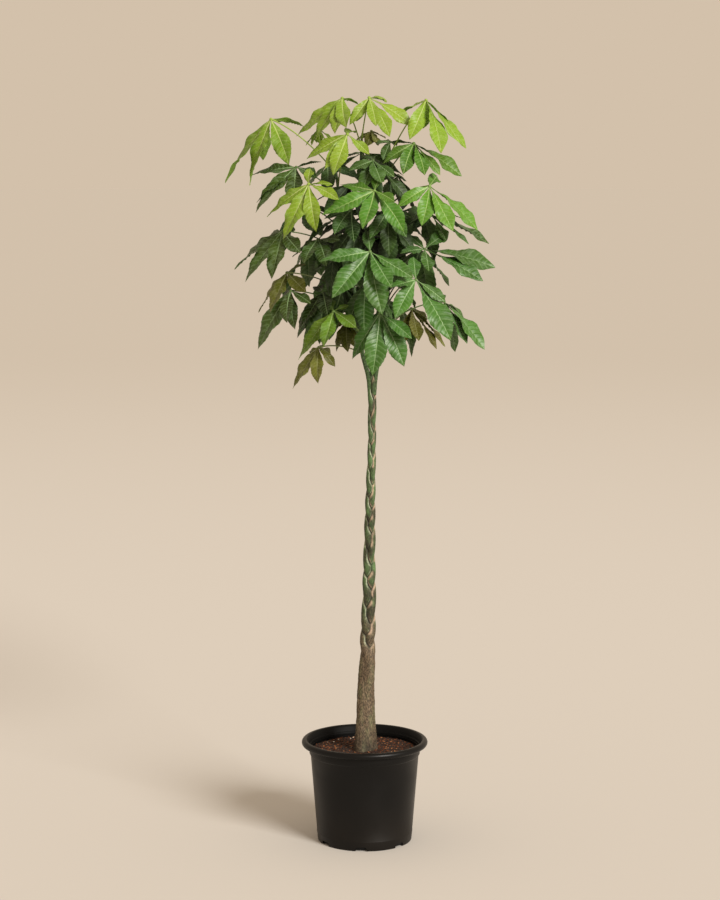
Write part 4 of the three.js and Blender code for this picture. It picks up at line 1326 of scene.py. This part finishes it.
SEEN_LEAVES = (
    SeenLeaf("dark_centre", Tint.DARK, Shoot.LEFT, 1212, (11, 1263, -160), 0.6, 0, (
        (-98, 1241, -50), (-70, 1164, -60), (37, 1129, -60), (57, 1187, -78), (103, 1207, -45),
        (5, 1306, 62),
    )),
    SeenLeaf("dark_lower_right", Tint.DARK, Shoot.RIGHT, 1150, (107, 1204, -165), 0.75, 0, (
        (52, 1186, -60), (63, 1122, -60), (181, 1076, -60), (170, 1157, -20), (102, 1252, 62),
    )),
    SeenLeaf("fresh_centre", Tint.FRESH, Shoot.RIGHT, 1335, (20, 1389, -140), 0.5, 0.1, (
        (-91, 1338, -35), (-5, 1309, -72), (82, 1303, -45), (63, 1366, -55), (-52, 1402, 45),
        (33, 1422, 65),
    )),
    SeenLeaf("dark_lowest", Tint.DARK, Shoot.RIGHT, 1072, (32, 1134, -140), 0.7, 0, (
        (16, 1001, -40), (83, 1021, -25), (99, 1080, -45), (-27, 1036, 15), (2, 1112, 62),
    )),
    SeenLeaf("young_left", Tint.YOUNG, Shoot.LEFT, 1348, (-117, 1403, -120), 0.5, 0.5, (
        (-205, 1334, 20), (-171, 1286, -40), (-101, 1303, -55), (-60, 1365, -50), (-67, 1402, 30),
        (-113, 1435, 60),
    )),
    SeenLeaf("young_centre", Tint.YOUNG, Shoot.LEFT, 1400, (-36, 1506, -70), 0.6, 0.5, (
        (-123, 1453, 15), (-92, 1438, -42), (-66, 1420, -70), (10, 1464, -45), (-26, 1512, 85),
    )),
    SeenLeaf("fresh_right", Tint.FRESH, Shoot.RIGHT, 1362, (135, 1399, -85), 0.85, 0.2, (
        (66, 1354, -28), (108, 1319, -62), (185, 1305, -55), (236, 1307, 0), (150, 1420, 75),
    )),
    SeenLeaf("bright_low", Tint.FRESH, Shoot.LEFT, 1095, (-66, 1138, -125), 0.5, 0.6, (
        (-140, 1035, 5), (-87, 1062, -62), (-17, 1103, -60), (-34, 1150, 20), (-75, 1165, 60),
    )),
    SeenLeaf("dark_right", Tint.DARK, Shoot.RIGHT, 1222, (125, 1268, -70), 0.55, 0, (
        (73, 1258, -50), (134, 1221, -72), (248, 1201, -20), (274, 1229, 25), (176, 1303, 62),
        (84, 1303, 40),
    )),
    SeenLeaf("young_top_right", Tint.YOUNG, Shoot.RIGHT, 1452, (127, 1576, -10), 0.9, 0.3, (
        (66, 1544, 40), (93, 1494, -60), (159, 1466, -75), (197, 1488, -32), (211, 1476, 20),
        (112, 1515, 85),
    )),
    SeenLeaf("young_far_left", Tint.YOUNG, Shoot.LEFT, 1424, (-195, 1537, -10), 0.5, 0.2, (
        (-292, 1404, 10), (-240, 1399, -45), (-169, 1436, -70), (-122, 1520, 55), (-212, 1452, 85),
    )),
    SeenLeaf("young_top", Tint.YOUNG, Shoot.BACK, 1496, (9, 1581, -20), 0.8, 0.6, (
        (-32, 1524, -42), (24, 1522, -72), (52, 1500, -55), (89, 1508, -10), (46, 1574, 70),
        (-18, 1532, 78),
    )),
    SeenLeaf("young_top_left", Tint.YOUNG, Shoot.BACK, 1478, (-47, 1580, -15), 0.5, 0.5, (
        (-143, 1501, 25), (-104, 1490, -40), (-62, 1506, -72), (-38, 1519, -82), (-12, 1566, 52),
        (-86, 1522, 78),
    )),
    SeenLeaf("dark_left", Tint.DARK, Shoot.LEFT, 1256, (-172, 1305, -55), 0.3, 0.35, (
        (-273, 1225, 10), (-251, 1198, -45), (-195, 1204, -75), (-134, 1260, -75), (-212, 1284, 72),
        (-150, 1302, 70),
    )),
    SeenLeaf("dark_far_right", Tint.DARK, Shoot.RIGHT, 1108, (166, 1158, -80), 0.7, 0, (
        (252, 1057, -20), (203, 1063, -10), (190, 1052, 30), (214, 1112, 65), (150, 1182, 60),
    )),
    SeenLeaf("olive_lowest", Tint.OLIVE, Shoot.LEFT, 1050, (-97, 1062, -60), 0.6, 0.3, (
        (-152, 974, 0), (-98, 985, -45), (-114, 1049, -52), (-76, 1043, -50), (-62, 1021, -5),
        (-92, 1060, 55),
    )),
    SeenLeaf("dark_low_left", Tint.DARK, Shoot.LEFT, 1128, (-155, 1181, -85), 0.25, 0.3, (
        (-225, 1056, -20), (-163, 1113, -62), (-146, 1099, -35), (-118, 1150, -45),
        (-186, 1150, 70),
    )),
    SeenLeaf("olive_left", Tint.OLIVE, Shoot.LEFT, 1166, (-163, 1219, -40), 0.5, 0.2, (
        (-223, 1135, 15), (-202, 1126, -45), (-122, 1178, -70), (-123, 1237, 35), (-178, 1190, 75),
    )),
    SeenLeaf("fresh_upper_right", Tint.FRESH, Shoot.RIGHT, 1428, (102, 1487, -30), 0.3, 0.2, (
        (36, 1444, -15), (80, 1423, -60), (125, 1421, -62), (157, 1421, -30), (202, 1419, 20),
        (86, 1452, 75),
    )),
    SeenLeaf("dark_upper_left", Tint.DARK, Shoot.LEFT, 1374, (-143, 1438, -25), 0.4, 0.3, (
        (-238, 1405, 30), (-226, 1364, -20), (-228, 1343, -50), (-170, 1362, -80),
        (-112, 1418, -65), (-90, 1449, 40),
    )),
    SeenLeaf("dark_inner_left", Tint.DARK, Shoot.LEFT, 1238, (-98, 1288, -75), 0.2, 0.3, (
        (-152, 1251, 40), (-127, 1238, -80), (-80, 1232, -80), (-56, 1283, -50), (-60, 1322, 35),
    )),
    SeenLeaf("dark_low_inner", Tint.DARK, Shoot.LEFT, 1146, (-88, 1180, -62), 0.1, 0.1, (
        (-158, 1086, -20), (-139, 1096, -50), (-100, 1071, -55), (-62, 1098, -60), (-100, 1190, 70),
    )),
    SeenLeaf("olive_low_right", Tint.OLIVE, Shoot.RIGHT, 1088, (98, 1144, 35), 0.2, 0.5, (
        (148, 1058, -30), (169, 1063, 5), (114, 1075, -65), (82, 1071, -40), (130, 1120, 75),
    )),
    SeenLeaf("dark_upper_centre", Tint.DARK, Shoot.BACK, 1396, (17, 1452, -50), 0.6, 0.2, (
        (-34, 1430, -55), (-6, 1392, -68), (34, 1391, -72), (62, 1417, -50), (12, 1460, 78),
    )),
    SeenLeaf("dark_mid_right", Tint.DARK, Shoot.RIGHT, 1290, (140, 1338, 20), 0.5, 0.1, (
        (260, 1279, 15), (207, 1270, -35), (168, 1286, -68), (100, 1308, -50), (160, 1318, 80),
    )),
    SeenLeaf("dark_mid_centre", Tint.DARK, Shoot.RIGHT, 1318, (48, 1348, -90), 0.4, 0.1, (
        (51, 1252, -25), (10, 1288, -60), (88, 1292, -50), (98, 1334, 20), (20, 1340, 70),
    )),
    SeenLeaf("grey_mid_left", Tint.DARK, Shoot.LEFT, 1304, (-28, 1350, -92), 0.3, 0, (
        (-64, 1298, -65), (-22, 1282, -60), (-86, 1330, 0), (-40, 1345, 72),
    )),
    SeenLeaf("dark_top_right", Tint.DARK, Shoot.RIGHT, 1472, (53, 1490, 10), 0.6, 0.3, (
        (24, 1484, -48), (44, 1450, -48), (76, 1462, -60), (98, 1489, -30), (60, 1484, 70),
    )),
    SeenLeaf("olive_top", Tint.OLIVE, Shoot.BACK, 1462, (14, 1512, 40), 0.6, 0.3, (
        (-22, 1492, -25), (4, 1480, -52), (28, 1482, -50), (44, 1497, -25), (12, 1490, 60),
    )),
    SeenLeaf("young_inner_left", Tint.YOUNG, Shoot.LEFT, 1438, (-95, 1516, 20), 0.4, 0.5, (
        (-123, 1482, -5), (-112, 1476, -32), (-90, 1484, -38), (-68, 1494, -12), (-100, 1488, 38),
    )),
    SeenLeaf("olive_low_centre", Tint.OLIVE, Shoot.BACK, 1064, (-38, 1118, 5), 0.3, 0.2, (
        (-60, 1052, -30), (-32, 1048, -48), (-4, 1066, -25), (-72, 1096, 30), (-28, 1100, 70),
    )),
)
# The table's viewer: its place across, its height, and how far it stands before the middle plane.
VIEWER_ACROSS, VIEWER_HEIGHT, VIEWER_DISTANCE = -10.0, 1510.0, 5000.0
# How far a leaf's hub leans to the viewer, and out from its shoot.
VIEWER_LEAN, CROWN_TILT = 0.3, 0.5
# The crown is an egg shape. Leaves inside it are painted darker, as painted shade.
CROWN_MIDDLE = np.array([0.0, 0.0, 1290.0])
CROWN_RADII = np.array([205.0, 195.0, 290.0])
CROWN_INSIDE = (0.35, 0.82)
# A settled tip keeps its distance from its hub to within the first of these. It has moved by less
# than the second, as a part of that distance. Corners nearer than the third are one tip.
SAME_REACH, FURTHEST_MOVE, SAME_TIP = 0.1, 0.77, 0.2


@dataclass(frozen=True)
class Ring:
    """A ring of leaves round the shoots: how many, where their hubs are, how their leaflets hang.

    Bearings are in degrees, where 0 is right and 90 is away from the viewer.
    """

    count: int
    height: float
    reach: float
    first: float
    last: float
    length: float
    droop: float


RINGS = (
    Ring(5, 1174, 106, 46, 146, 122, 45),
    Ring(5, 1260, 128, 30, 152, 132, 42),
    Ring(4, 1350, 138, 20, 160, 132, 42),
    Ring(3, 1446, 94, 42, 144, 112, 38),
    Ring(3, 1185, 92, 232, 318, 118, 55),
    Ring(3, 1310, 92, 222, 300, 112, 52),
    Ring(2, 1424, 66, 235, 300, 104, 46),
)


@dataclass(frozen=True)
class RingRule:
    """How the leaves of a ring are made, and how far each one strays."""

    seed: int = 4831
    leaflets: int = 5
    fan: float = 288.0
    root_drop: float = 0.42
    shortest: float = 0.72
    tone: float = 0.45
    warmth: float = 0.1
    # From here on, how far each of these strays.
    height: float = 30.0
    reach: float = 14.0
    bearing: float = 4.0
    fan_stray: float = 8.0
    droop: float = 8.0
    length: float = 0.06


@dataclass
class Leaf:
    """Where one leaf grows: the foot of its stalk, its hub and the tips of its leaflets."""

    name: str
    tint: Tint
    root: Vec
    hub: Vec
    tone: float
    warmth: float
    lean: float = 0.0
    tips: list[Vec] = field(default_factory=list)

    def outward(self) -> Vec:
        """Return the level direction from the shoot to the hub."""
        return unit((self.hub - self.root) * (1, 1, 0))

    def axis(self) -> Vec:
        """Return the direction up through the hub, tilted from the shoot and towards the viewer."""
        return unit(UP + CROWN_TILT * self.outward() - self.lean * VIEWER_SIDE)


def place_seen(across: float, height: float, depth: float) -> Vec:
    """Return the place at a depth that a viewer sees at a point of the pot's middle plane."""
    scale = 1 + depth / VIEWER_DISTANCE
    aside, above = (across - VIEWER_ACROSS) * scale, (height - VIEWER_HEIGHT) * scale
    return np.array([VIEWER_ACROSS + aside, depth, VIEWER_HEIGHT + above])


def seen_leaf(entry: SeenLeaf) -> Leaf:
    """Return a leaf of the table, before it is settled among its neighbours."""
    tips = [place_seen(x, z, entry.hub[2] + depth) for x, z, depth in entry.tips]
    root = shoot_point(entry.shoot, entry.root)
    hub = place_seen(*entry.hub)
    return Leaf(entry.name, entry.tint, root, hub, entry.tone, entry.warmth, VIEWER_LEAN, tips)


def nearest_shoot(place: Vec, height: float) -> Vec:
    """Return the point at a height on the shoot that comes nearest to a place."""
    points = [shoot_point(shoot, height) for shoot in Shoot]
    return min(points, key=lambda point: float(np.linalg.norm(point - place)))


def ring_leaf(name: str, ring: Ring, bearing: float, rule: RingRule, dice: Dice) -> Leaf:
    """Return one leaf of a ring.

    Args:
        name: The leaf's name.
        ring: The ring that it belongs to.
        bearing: Its bearing in degrees.
        rule: How ring leaves are made.
        dice: The ring leaves' own random numbers, drawn in the plain model's order.

    Returns:
        The leaf, before it is settled among its neighbours.
    """
    height = ring.height + rule.height * dice.spread()
    reach = ring.reach + rule.reach * dice.spread()
    turn = math.radians(bearing + rule.bearing * dice.spread())
    hub = np.array([reach * math.cos(turn), reach * math.sin(turn), height])
    root = nearest_shoot(hub, height - rule.root_drop * reach)
    leaf = Leaf(name, Tint.DARK, root, hub, rule.tone, rule.warmth)
    axis, out = leaf.axis(), leaf.outward()
    out = unit(out - axis * (out @ axis))
    aside = np.cross(axis, out)
    for leaflet in range(rule.leaflets):
        share = leaflet / (rule.leaflets - 1) - 0.5
        fan = math.radians(share * rule.fan + rule.fan_stray * dice.spread())
        droop = math.radians(ring.droop + rule.droop * dice.spread())
        inward = 1 - (1 - rule.shortest) * abs(2 * share)
        length = ring.length * inward * (1 + rule.length * dice.spread())
        level = out * math.cos(fan) + aside * math.sin(fan)
        leaf.tips.append(hub + length * (level * math.cos(droop) - axis * math.sin(droop)))
    return leaf


def ring_leaves(rule: RingRule) -> list[Leaf]:
    """Return the leaves that fill the sides and the back of the crown."""
    dice = Dice(rule.seed)
    leaves = []
    for level, ring in enumerate(RINGS, start=1):
        for place in range(ring.count):
            bearing = ring.first + (ring.last - ring.first) * place / (ring.count - 1)
            leaves.append(ring_leaf(f"ring_{level}_{place + 1}", ring, bearing, rule, dice))
    return leaves


def settle(leaf: Leaf) -> None:
    """Move a leaf's tips to where its plain node has them, bent clear of its neighbours.

    A leaflet that found no room in the plain model is dropped.

    Args:
        leaf: The leaf, whose tips are changed.
    """
    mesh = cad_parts[f"leaf_{leaf.name}"].data
    corners = np.empty(len(mesh.vertices) * 3)
    mesh.vertices.foreach_get("co", corners)
    corners = corners.reshape(-1, 3) / MM
    reach = np.linalg.norm(corners - leaf.hub, axis=1)
    free = np.ones(len(corners), dtype=bool)
    settled = []
    for tip in leaf.tips:
        length = np.linalg.norm(tip - leaf.hub)
        away = np.linalg.norm(corners - tip, axis=1)
        fits = free & (np.abs(reach - length) < SAME_REACH) & (away < FURTHEST_MOVE * length)
        if fits.any():
            place = np.where(fits, away, np.inf).argmin()
            free &= np.linalg.norm(corners - corners[place], axis=1) > SAME_TIP
            settled.append(corners[place])
    leaf.tips = settled


@dataclass(frozen=True)
class BladeSize:
    """A leaflet's shape. Lengths without a unit are parts of the leaflet's length."""

    seed: int = 9176
    width: float = 0.37
    # The blade widens from its base and narrows to its tip by these powers. Their product peaks at
    # swell_top.
    swell: Pair = (1.7, 1.25)
    swell_top: float = 0.134
    arch: float = 0.015
    # How the two halves stand up from the midrib and level out, and how much that varies.
    fold: Pair = (0.42, 0.22)
    fold_varies: Pair = (0.75, 1.2)
    roll: float = 0.045
    roll_reach: float = 0.55
    bend: float = 0.03
    twist_degrees: float = 12.0
    # How deep the margin's waves are, how many there are, and by what power they fade inwards.
    wave: Pair = (0.012, 0.022)
    waves: Pair = (2.6, 3.8)
    wave_power: float = 2.2
    thickness_mm: float = 0.5
    margin_mm: float = 0.3
    base_mm: float = 1.2
    base_reach: float = 0.04
    base_power: int = 8
    rib_mm: float = 1.0
    rib_power: float = 0.7
    rib_half: float = 0.1
    # The unit that distances from the midrib are counted in, in millimetres at the base, and how
    # much shorter it is at the tip.
    rib_span: Pair = (1.25, 0.95)
    quilt: float = 0.11
    scallop: float = 0.035
    scallop_power: int = 4
    margin: float = 0.95
    veins: int = 12
    rows_per_vein: int = 3
    young_share: float = 0.88
    slant: float = 0.42
    slant_power: float = 1.2
    columns: tuple[float, ...] = (-1.0, -0.66, -0.32, -0.07, 0.0, 0.07, 0.32, 0.66, 1.0)
    # How far leaflets of one leaf differ, and how far from the tip some are browned.
    tone: float = 0.17
    warmth: float = 0.12
    brown_reach: float = 0.05
    sharp_degrees: float = 70.0
    box_margin_mm: float = 3.0


@dataclass(frozen=True)
class StalkSize:
    """A leaf's stalk and hub, in millimetres. A reach is a part of the stalk's length."""

    foot: float = 2.6
    foot_reach: float = 0.1
    middle: float = 1.35
    top: float = 2.2
    top_reach: float = 0.06
    lift: float = 0.16
    hub_radius: float = 3.6
    hub_height: float = 2.6
    hub_rings: int = 6
    hub_sides: int = 12
    hub_side: Place = (0.3, 1.0, 0.1)
    steps: int = 22
    sides: int = 10


class Crown:
    """All the compound leaves, each built as one piece: a stalk, a hub and its leaflets."""

    def __init__(
        self, blade: BladeSize, stalk: StalkSize, limbs: Recipe, finishes: Mapping[Tint, Material]
    ) -> None:
        """Keep the sizes, the tree that bodies the stalks, and a finish for each age of leaf."""
        self.blade = blade
        self.stalk = stalk
        self.limbs = limbs
        self.finishes = finishes
        self.dice = Dice(blade.seed)

    def innerness(self, points: Vec) -> Vec:
        """Return how deep in the crown points are, from 0 at its skin to 1 in its middle."""
        depth = np.linalg.norm((points - CROWN_MIDDLE) / CROWN_RADII, axis=1)
        return 1 - smooth_step(depth, *CROWN_INSIDE)

    def half_width(self, along: Vec, length: float) -> Vec:
        """Return half the blade's width at parts of its length. It is widest past the middle."""
        size = self.blade
        widening, narrowing = size.swell
        swell = along**widening * np.clip(1 - along, 0, 1) ** narrowing / size.swell_top
        return 0.5 * size.width * length * swell + size.base_mm * (1 - along) ** size.base_power

    def lift(self, along: Vec, column: Vec, vein: Vec, half: Vec, length: float) -> Vec:
        """Return how far the blade's upper face rises over the line from its base to its tip.

        Args:
            along: Parts of the blade's length.
            column: Parts of its half width, from -1 to 1.
            vein: The count of side veins up to each point.
            half: Its half width, in millimetres.
            length: Its length, in millimetres.

        Returns:
            The rise in millimetres.
        """
        size, dice = self.blade, self.dice
        middle = 4 * along * (1 - along)
        rise, fall = size.fold
        fold = dice.between(*size.fold_varies) * half * (rise * np.abs(column) - fall * column**2)
        curl = np.sin(math.pi * along / size.roll_reach) * np.sqrt(middle)
        roll = size.roll * length * column * curl
        wave = np.zeros_like(along * column)
        for way in (-1, 1):
            depth = dice.between(*size.wave) * length * middle
            ripple = np.sin(FULL_TURN * (dice.between(*size.waves) * along + dice.roll()))
            edge = np.abs(column) ** size.wave_power
            wave += np.where(column * way > 0, depth * ripple * edge, 0)
        quilt = size.quilt * half * (0.5 - 0.5 * np.cos(FULL_TURN * vein)) * (1 - column**2)
        return size.arch * length * middle + fold + roll + wave + quilt

    def leaflet(self, shape: Shape, leaf: Leaf, tip: Vec) -> None:
        """Add one leaflet to a leaf.

        Args:
            shape: The leaf's shape so far.
            leaf: The leaf.
            tip: The leaflet's tip.
        """
        size, dice = self.blade, self.dice
        length = float(np.linalg.norm(tip - leaf.hub))
        forward = (tip - leaf.hub) / length
        axis = leaf.axis()
        up = unit(axis - forward * (axis @ forward))
        across = np.cross(forward, up)
        rows = size.veins * size.rows_per_vein
        spot = np.arange(rows)[:, None] / rows
        column = np.array(size.columns)[None, :]
        along = spot + size.slant * spot * (1 - spot) * np.abs(column) ** size.slant_power
        half = self.half_width(along, length)
        if leaf.tint is Tint.YOUNG:
            half = half * size.young_share
        vein = np.broadcast_to(size.veins * spot, along.shape)
        rise = self.lift(along, column, vein, half, length)
        # The margin stands out a little where each side vein meets it.
        teeth = size.scallop * np.cos(FULL_TURN * vein) * column**size.scallop_power
        toothed = size.margin + teeth
        bend = size.bend * dice.spread() * length * 4 * along * (1 - along)
        sideways = bend + toothed * half * column
        turn = math.radians(size.twist_degrees) * dice.spread() * along
        thick = size.thickness_mm + (size.margin_mm - size.thickness_mm) * column**2
        thick = thick + size.base_mm * np.exp(-along / size.base_reach)
        rib = size.rib_mm * (1 - along) ** size.rib_power * (np.abs(column) < size.rib_half)
        faces = []
        for drop in (0.0, thick + rib):
            high = rise - drop
            face = leaf.hub + forward * (length * along)[..., None]
            face = face + across * (sideways * np.cos(turn) - high * np.sin(turn))[..., None]
            face = face + up * (high * np.cos(turn) + sideways * np.sin(turn))[..., None]
            faces.append(face.reshape(-1, 3))
        points = np.vstack([*faces, [tip]])
        tone = np.clip(leaf.tone + size.tone * dice.spread(), 0, 1)
        browned = dice.roll() ** 3 * np.exp(-(1 - along.ravel()) / size.brown_reach)
        warmth = np.clip(leaf.warmth + size.warmth * dice.spread() + browned, 0, 1)
        base, less = size.rib_span
        off_rib = np.abs(column) * half / (base - less * along)
        hard = np.exp(-((along / size.base_reach) ** 2))
        # The same on both faces, and then at the tip.
        both = {
            "warmth": (warmth, warmth.max()), "off_rib": (off_rib, 1.0),
            "vein": (vein, size.veins), "stalk": (hard, 0.0),
        }
        values = {
            name: np.append(np.tile(grid.ravel(), 2), end) for name, (grid, end) in both.items()
        }
        under = np.repeat([0.0, 1.0, 0.5], [off_rib.size, off_rib.size, 1])
        values |= {"tone": tone, "under": under}
        shape.join(points, self.blade_faces(rows, column.size), values=values)

    def blade_faces(self, rows: int, columns: int) -> list[Face]:
        """Return the faces of a leaflet.

        Args:
            rows: The rows of points on each face, from the base.
            columns: The points in a row.

        Returns:
            The faces over the upper grid, the lower grid that follows it, and the tip at the end.
        """
        under = rows * columns
        tip = 2 * under
        faces: list[Face] = []
        for row in range(rows):
            start, end = row * columns, (row + 1) * columns - 1
            # The last row closes on the tip, and each other row on the row after it.
            close = (tip,) if row == rows - 1 else None
            for place in range(start, end):
                upper = close or (place + columns + 1, place + columns)
                lower = close or (under + place + columns, under + place + columns + 1)
                faces += [(place, place + 1, *upper), (under + place + 1, under + place, *lower)]
            left = close or (start + columns, under + start + columns)
            right = close or (under + end + columns, end + columns)
            faces += [(start, *left, under + start), (end, under + end, *right)]
        faces.append((*range(columns - 1, -1, -1), *range(under, under + columns)))
        return faces

    def hub(self, shape: Shape, leaf: Leaf) -> None:
        """Add the knob that the leaflets spring from."""
        size = self.stalk
        rows = arc((0.0, 0.0), 1.0, -90, 90, size.hub_rings)
        points, faces = lathe([(0.0, -1.0), *rows[1:-1], (0.0, 1.0)], size.hub_sides)
        axis = leaf.axis()
        side = unit(np.cross(axis, size.hub_side))
        basis = np.stack([side, np.cross(axis, side), axis])
        points = points * (size.hub_radius, size.hub_radius, size.hub_height)
        values = {"tone": leaf.tone, "stalk": 1.0, "vein": 0.5}
        shape.join(leaf.hub + points @ basis, faces, values=values)

    def petiole(self, shape: Shape, leaf: Leaf) -> None:
        """Add the path of the stalk, with its swollen foot and top."""
        size = self.stalk
        share = np.linspace(0, 1, size.steps)[:, None]
        bow = (leaf.root + leaf.hub) / 2
        bow = bow + UP * size.lift * np.linalg.norm(leaf.hub - leaf.root)
        path = leaf.root * (1 - share) ** 2 + 2 * bow * share * (1 - share) + leaf.hub * share**2
        share = share.ravel()
        swell = (size.foot - size.middle) * np.exp(-((share / size.foot_reach) ** 2))
        swell += (size.top - size.middle) * np.exp(-(((1 - share) / size.top_reach) ** 2))
        values = {"tone": leaf.tone, "stalk": 1.0, "vein": 0.5, "limb": 1.0}
        values["girth"] = (size.middle + swell) * MM
        shape.join(path, edges=path_edges(size.steps), values=values)

    def build_leaf(self, leaf: Leaf) -> None:
        """Build one leaf and let it stand for its plain node."""
        settle(leaf)
        shape = Shape()
        for tip in leaf.tips:
            self.leaflet(shape, leaf, tip)
        self.hub(shape, leaf)
        self.petiole(shape, leaf)
        shape.points = [eased_inside(points, self.blade.box_margin_mm) for points in shape.points]
        shape.values["inner"] = [self.innerness(points) for points in shape.points]
        thing = new_object(f"palmate_{leaf.name}", shape.mesh(f"palmate_{leaf.name}"))
        self.limbs.run(thing, {"Material": self.finishes[leaf.tint], "Sides": self.stalk.sides})
        thing.data.set_sharp_from_angle(angle=math.radians(self.blade.sharp_degrees))
        place_piece(thing, leaf.tint.value, f"leaf_{leaf.name}")

    def build(self) -> None:
        """Build every leaf."""
        for leaf in [seen_leaf(entry) for entry in SEEN_LEAVES] + ring_leaves(RingRule()):
            self.build_leaf(leaf)


# ---- the studio ----


@dataclass(frozen=True)
class Studio:
    """A pale seamless room with one broad lamp, and the camera. Lengths are in metres."""

    air: str = "#d3c1ab"
    # The floor is painted brightest round the plant, a painted pool of light, and melts into the
    # air further off.
    floor: str = "#c3bdb5"
    near_floor: str = "#cecac5"
    near: float = 1.5
    far: float = 12.0
    floor_radius: float = 60.0
    floor_sides: int = 64
    sun_strength: float = 3.8
    sun_angle: float = 24.0
    sun_from: Place = (0.58, -0.75, 0.47)
    sun_colour: str = "#fffaf2"
    eye: Place = (-0.01, -5.0, 1.51)
    aim: Place = (-0.01, 0.0, 0.8445)
    lens: float = 95.52
    sensor: float = 36.0

    def camera(self) -> None:
        """Set up the camera."""
        data = bpy.data.cameras.new("view")
        data.lens = self.lens
        data.sensor_width = self.sensor
        thing = new_object("view", data)
        thing.location = self.eye
        way = Vector(self.aim) - Vector(self.eye)
        thing.rotation_euler = way.to_track_quat("-Z", "Y").to_euler()
        bpy.context.scene.camera = thing

    def paper(self) -> Material:
        """Return the floor's matt paper."""
        material, tree, spot = new_material("studio_paper")
        away = add(tree, VECTOR_MATH, {"operation": "LENGTH"}, (spot,))["Value"]
        share = add(tree, RANGE, SOFT, (away, self.near, self.far))[0]
        colour = add(tree, MIX, COLOURS, {0: share, 6: self.near_floor, 7: self.floor})[2]
        matt = {"Base Color": colour, "Roughness": 1.0, "Specular IOR Level": 0.0}
        skin = add(tree, "ShaderNodeBsdfPrincipled", None, matt)
        add(tree, "ShaderNodeOutputMaterial", None, (skin[0],))
        return material

    def ground(self) -> None:
        """Lay the floor, which isn't part of the plant."""
        turns = FULL_TURN * np.arange(self.floor_sides) / self.floor_sides
        rim = self.floor_radius * np.stack([np.cos(turns), np.sin(turns), 0 * turns], axis=1)
        mesh = bpy.data.meshes.new("studio_floor")
        mesh.from_pydata(rim.tolist(), [], [tuple(range(len(rim)))])
        mesh.materials.append(self.paper())
        new_object("studio_floor", mesh)

    def light(self) -> None:
        """Light the room: an even glow from all round, and a soft lamp from the right in front."""
        world = bpy.data.worlds.new("studio_air")
        world.use_nodes = True
        world.node_tree.nodes.clear()
        tree = world.node_tree
        glow = add(tree, "ShaderNodeBackground", None, (self.air, 1.0))
        add(tree, "ShaderNodeOutputWorld", None, (glow[0],))
        bpy.context.scene.world = world
        data = bpy.data.lights.new("lamp", "SUN")
        data.energy = self.sun_strength
        data.angle = math.radians(self.sun_angle)
        data.color = linear(self.sun_colour)[:3]
        way = -Vector(self.sun_from)
        new_object("lamp", data).rotation_euler = way.to_track_quat("-Z", "Y").to_euler()

    def build(self) -> None:
        """Set up the room, the light and the camera."""
        self.ground()
        self.light()
        self.camera()
        bpy.context.scene.view_settings.view_transform = "Standard"


def main() -> None:
    """Build the plant and its studio."""
    logging.basicConfig(level=logging.INFO, format="%(name)s: %(message)s")
    limbs = limb_recipe()
    NurseryPot(PotSize(), MouldedPlastic().material(), INNER_PLASTIC.material()).build()
    SoilFill(FillSize(), DampCompost().material(), BarkChips().material()).build()
    BraidedTrunk(TrunkSize(), limbs, LivingBark().material()).build()
    finishes = {tint: skin.material() for tint, skin in LEAF_SKINS.items()}
    Crown(BladeSize(), StalkSize(), limbs, finishes).build()
    Studio().build()


if __name__ == "__main__":
    main()
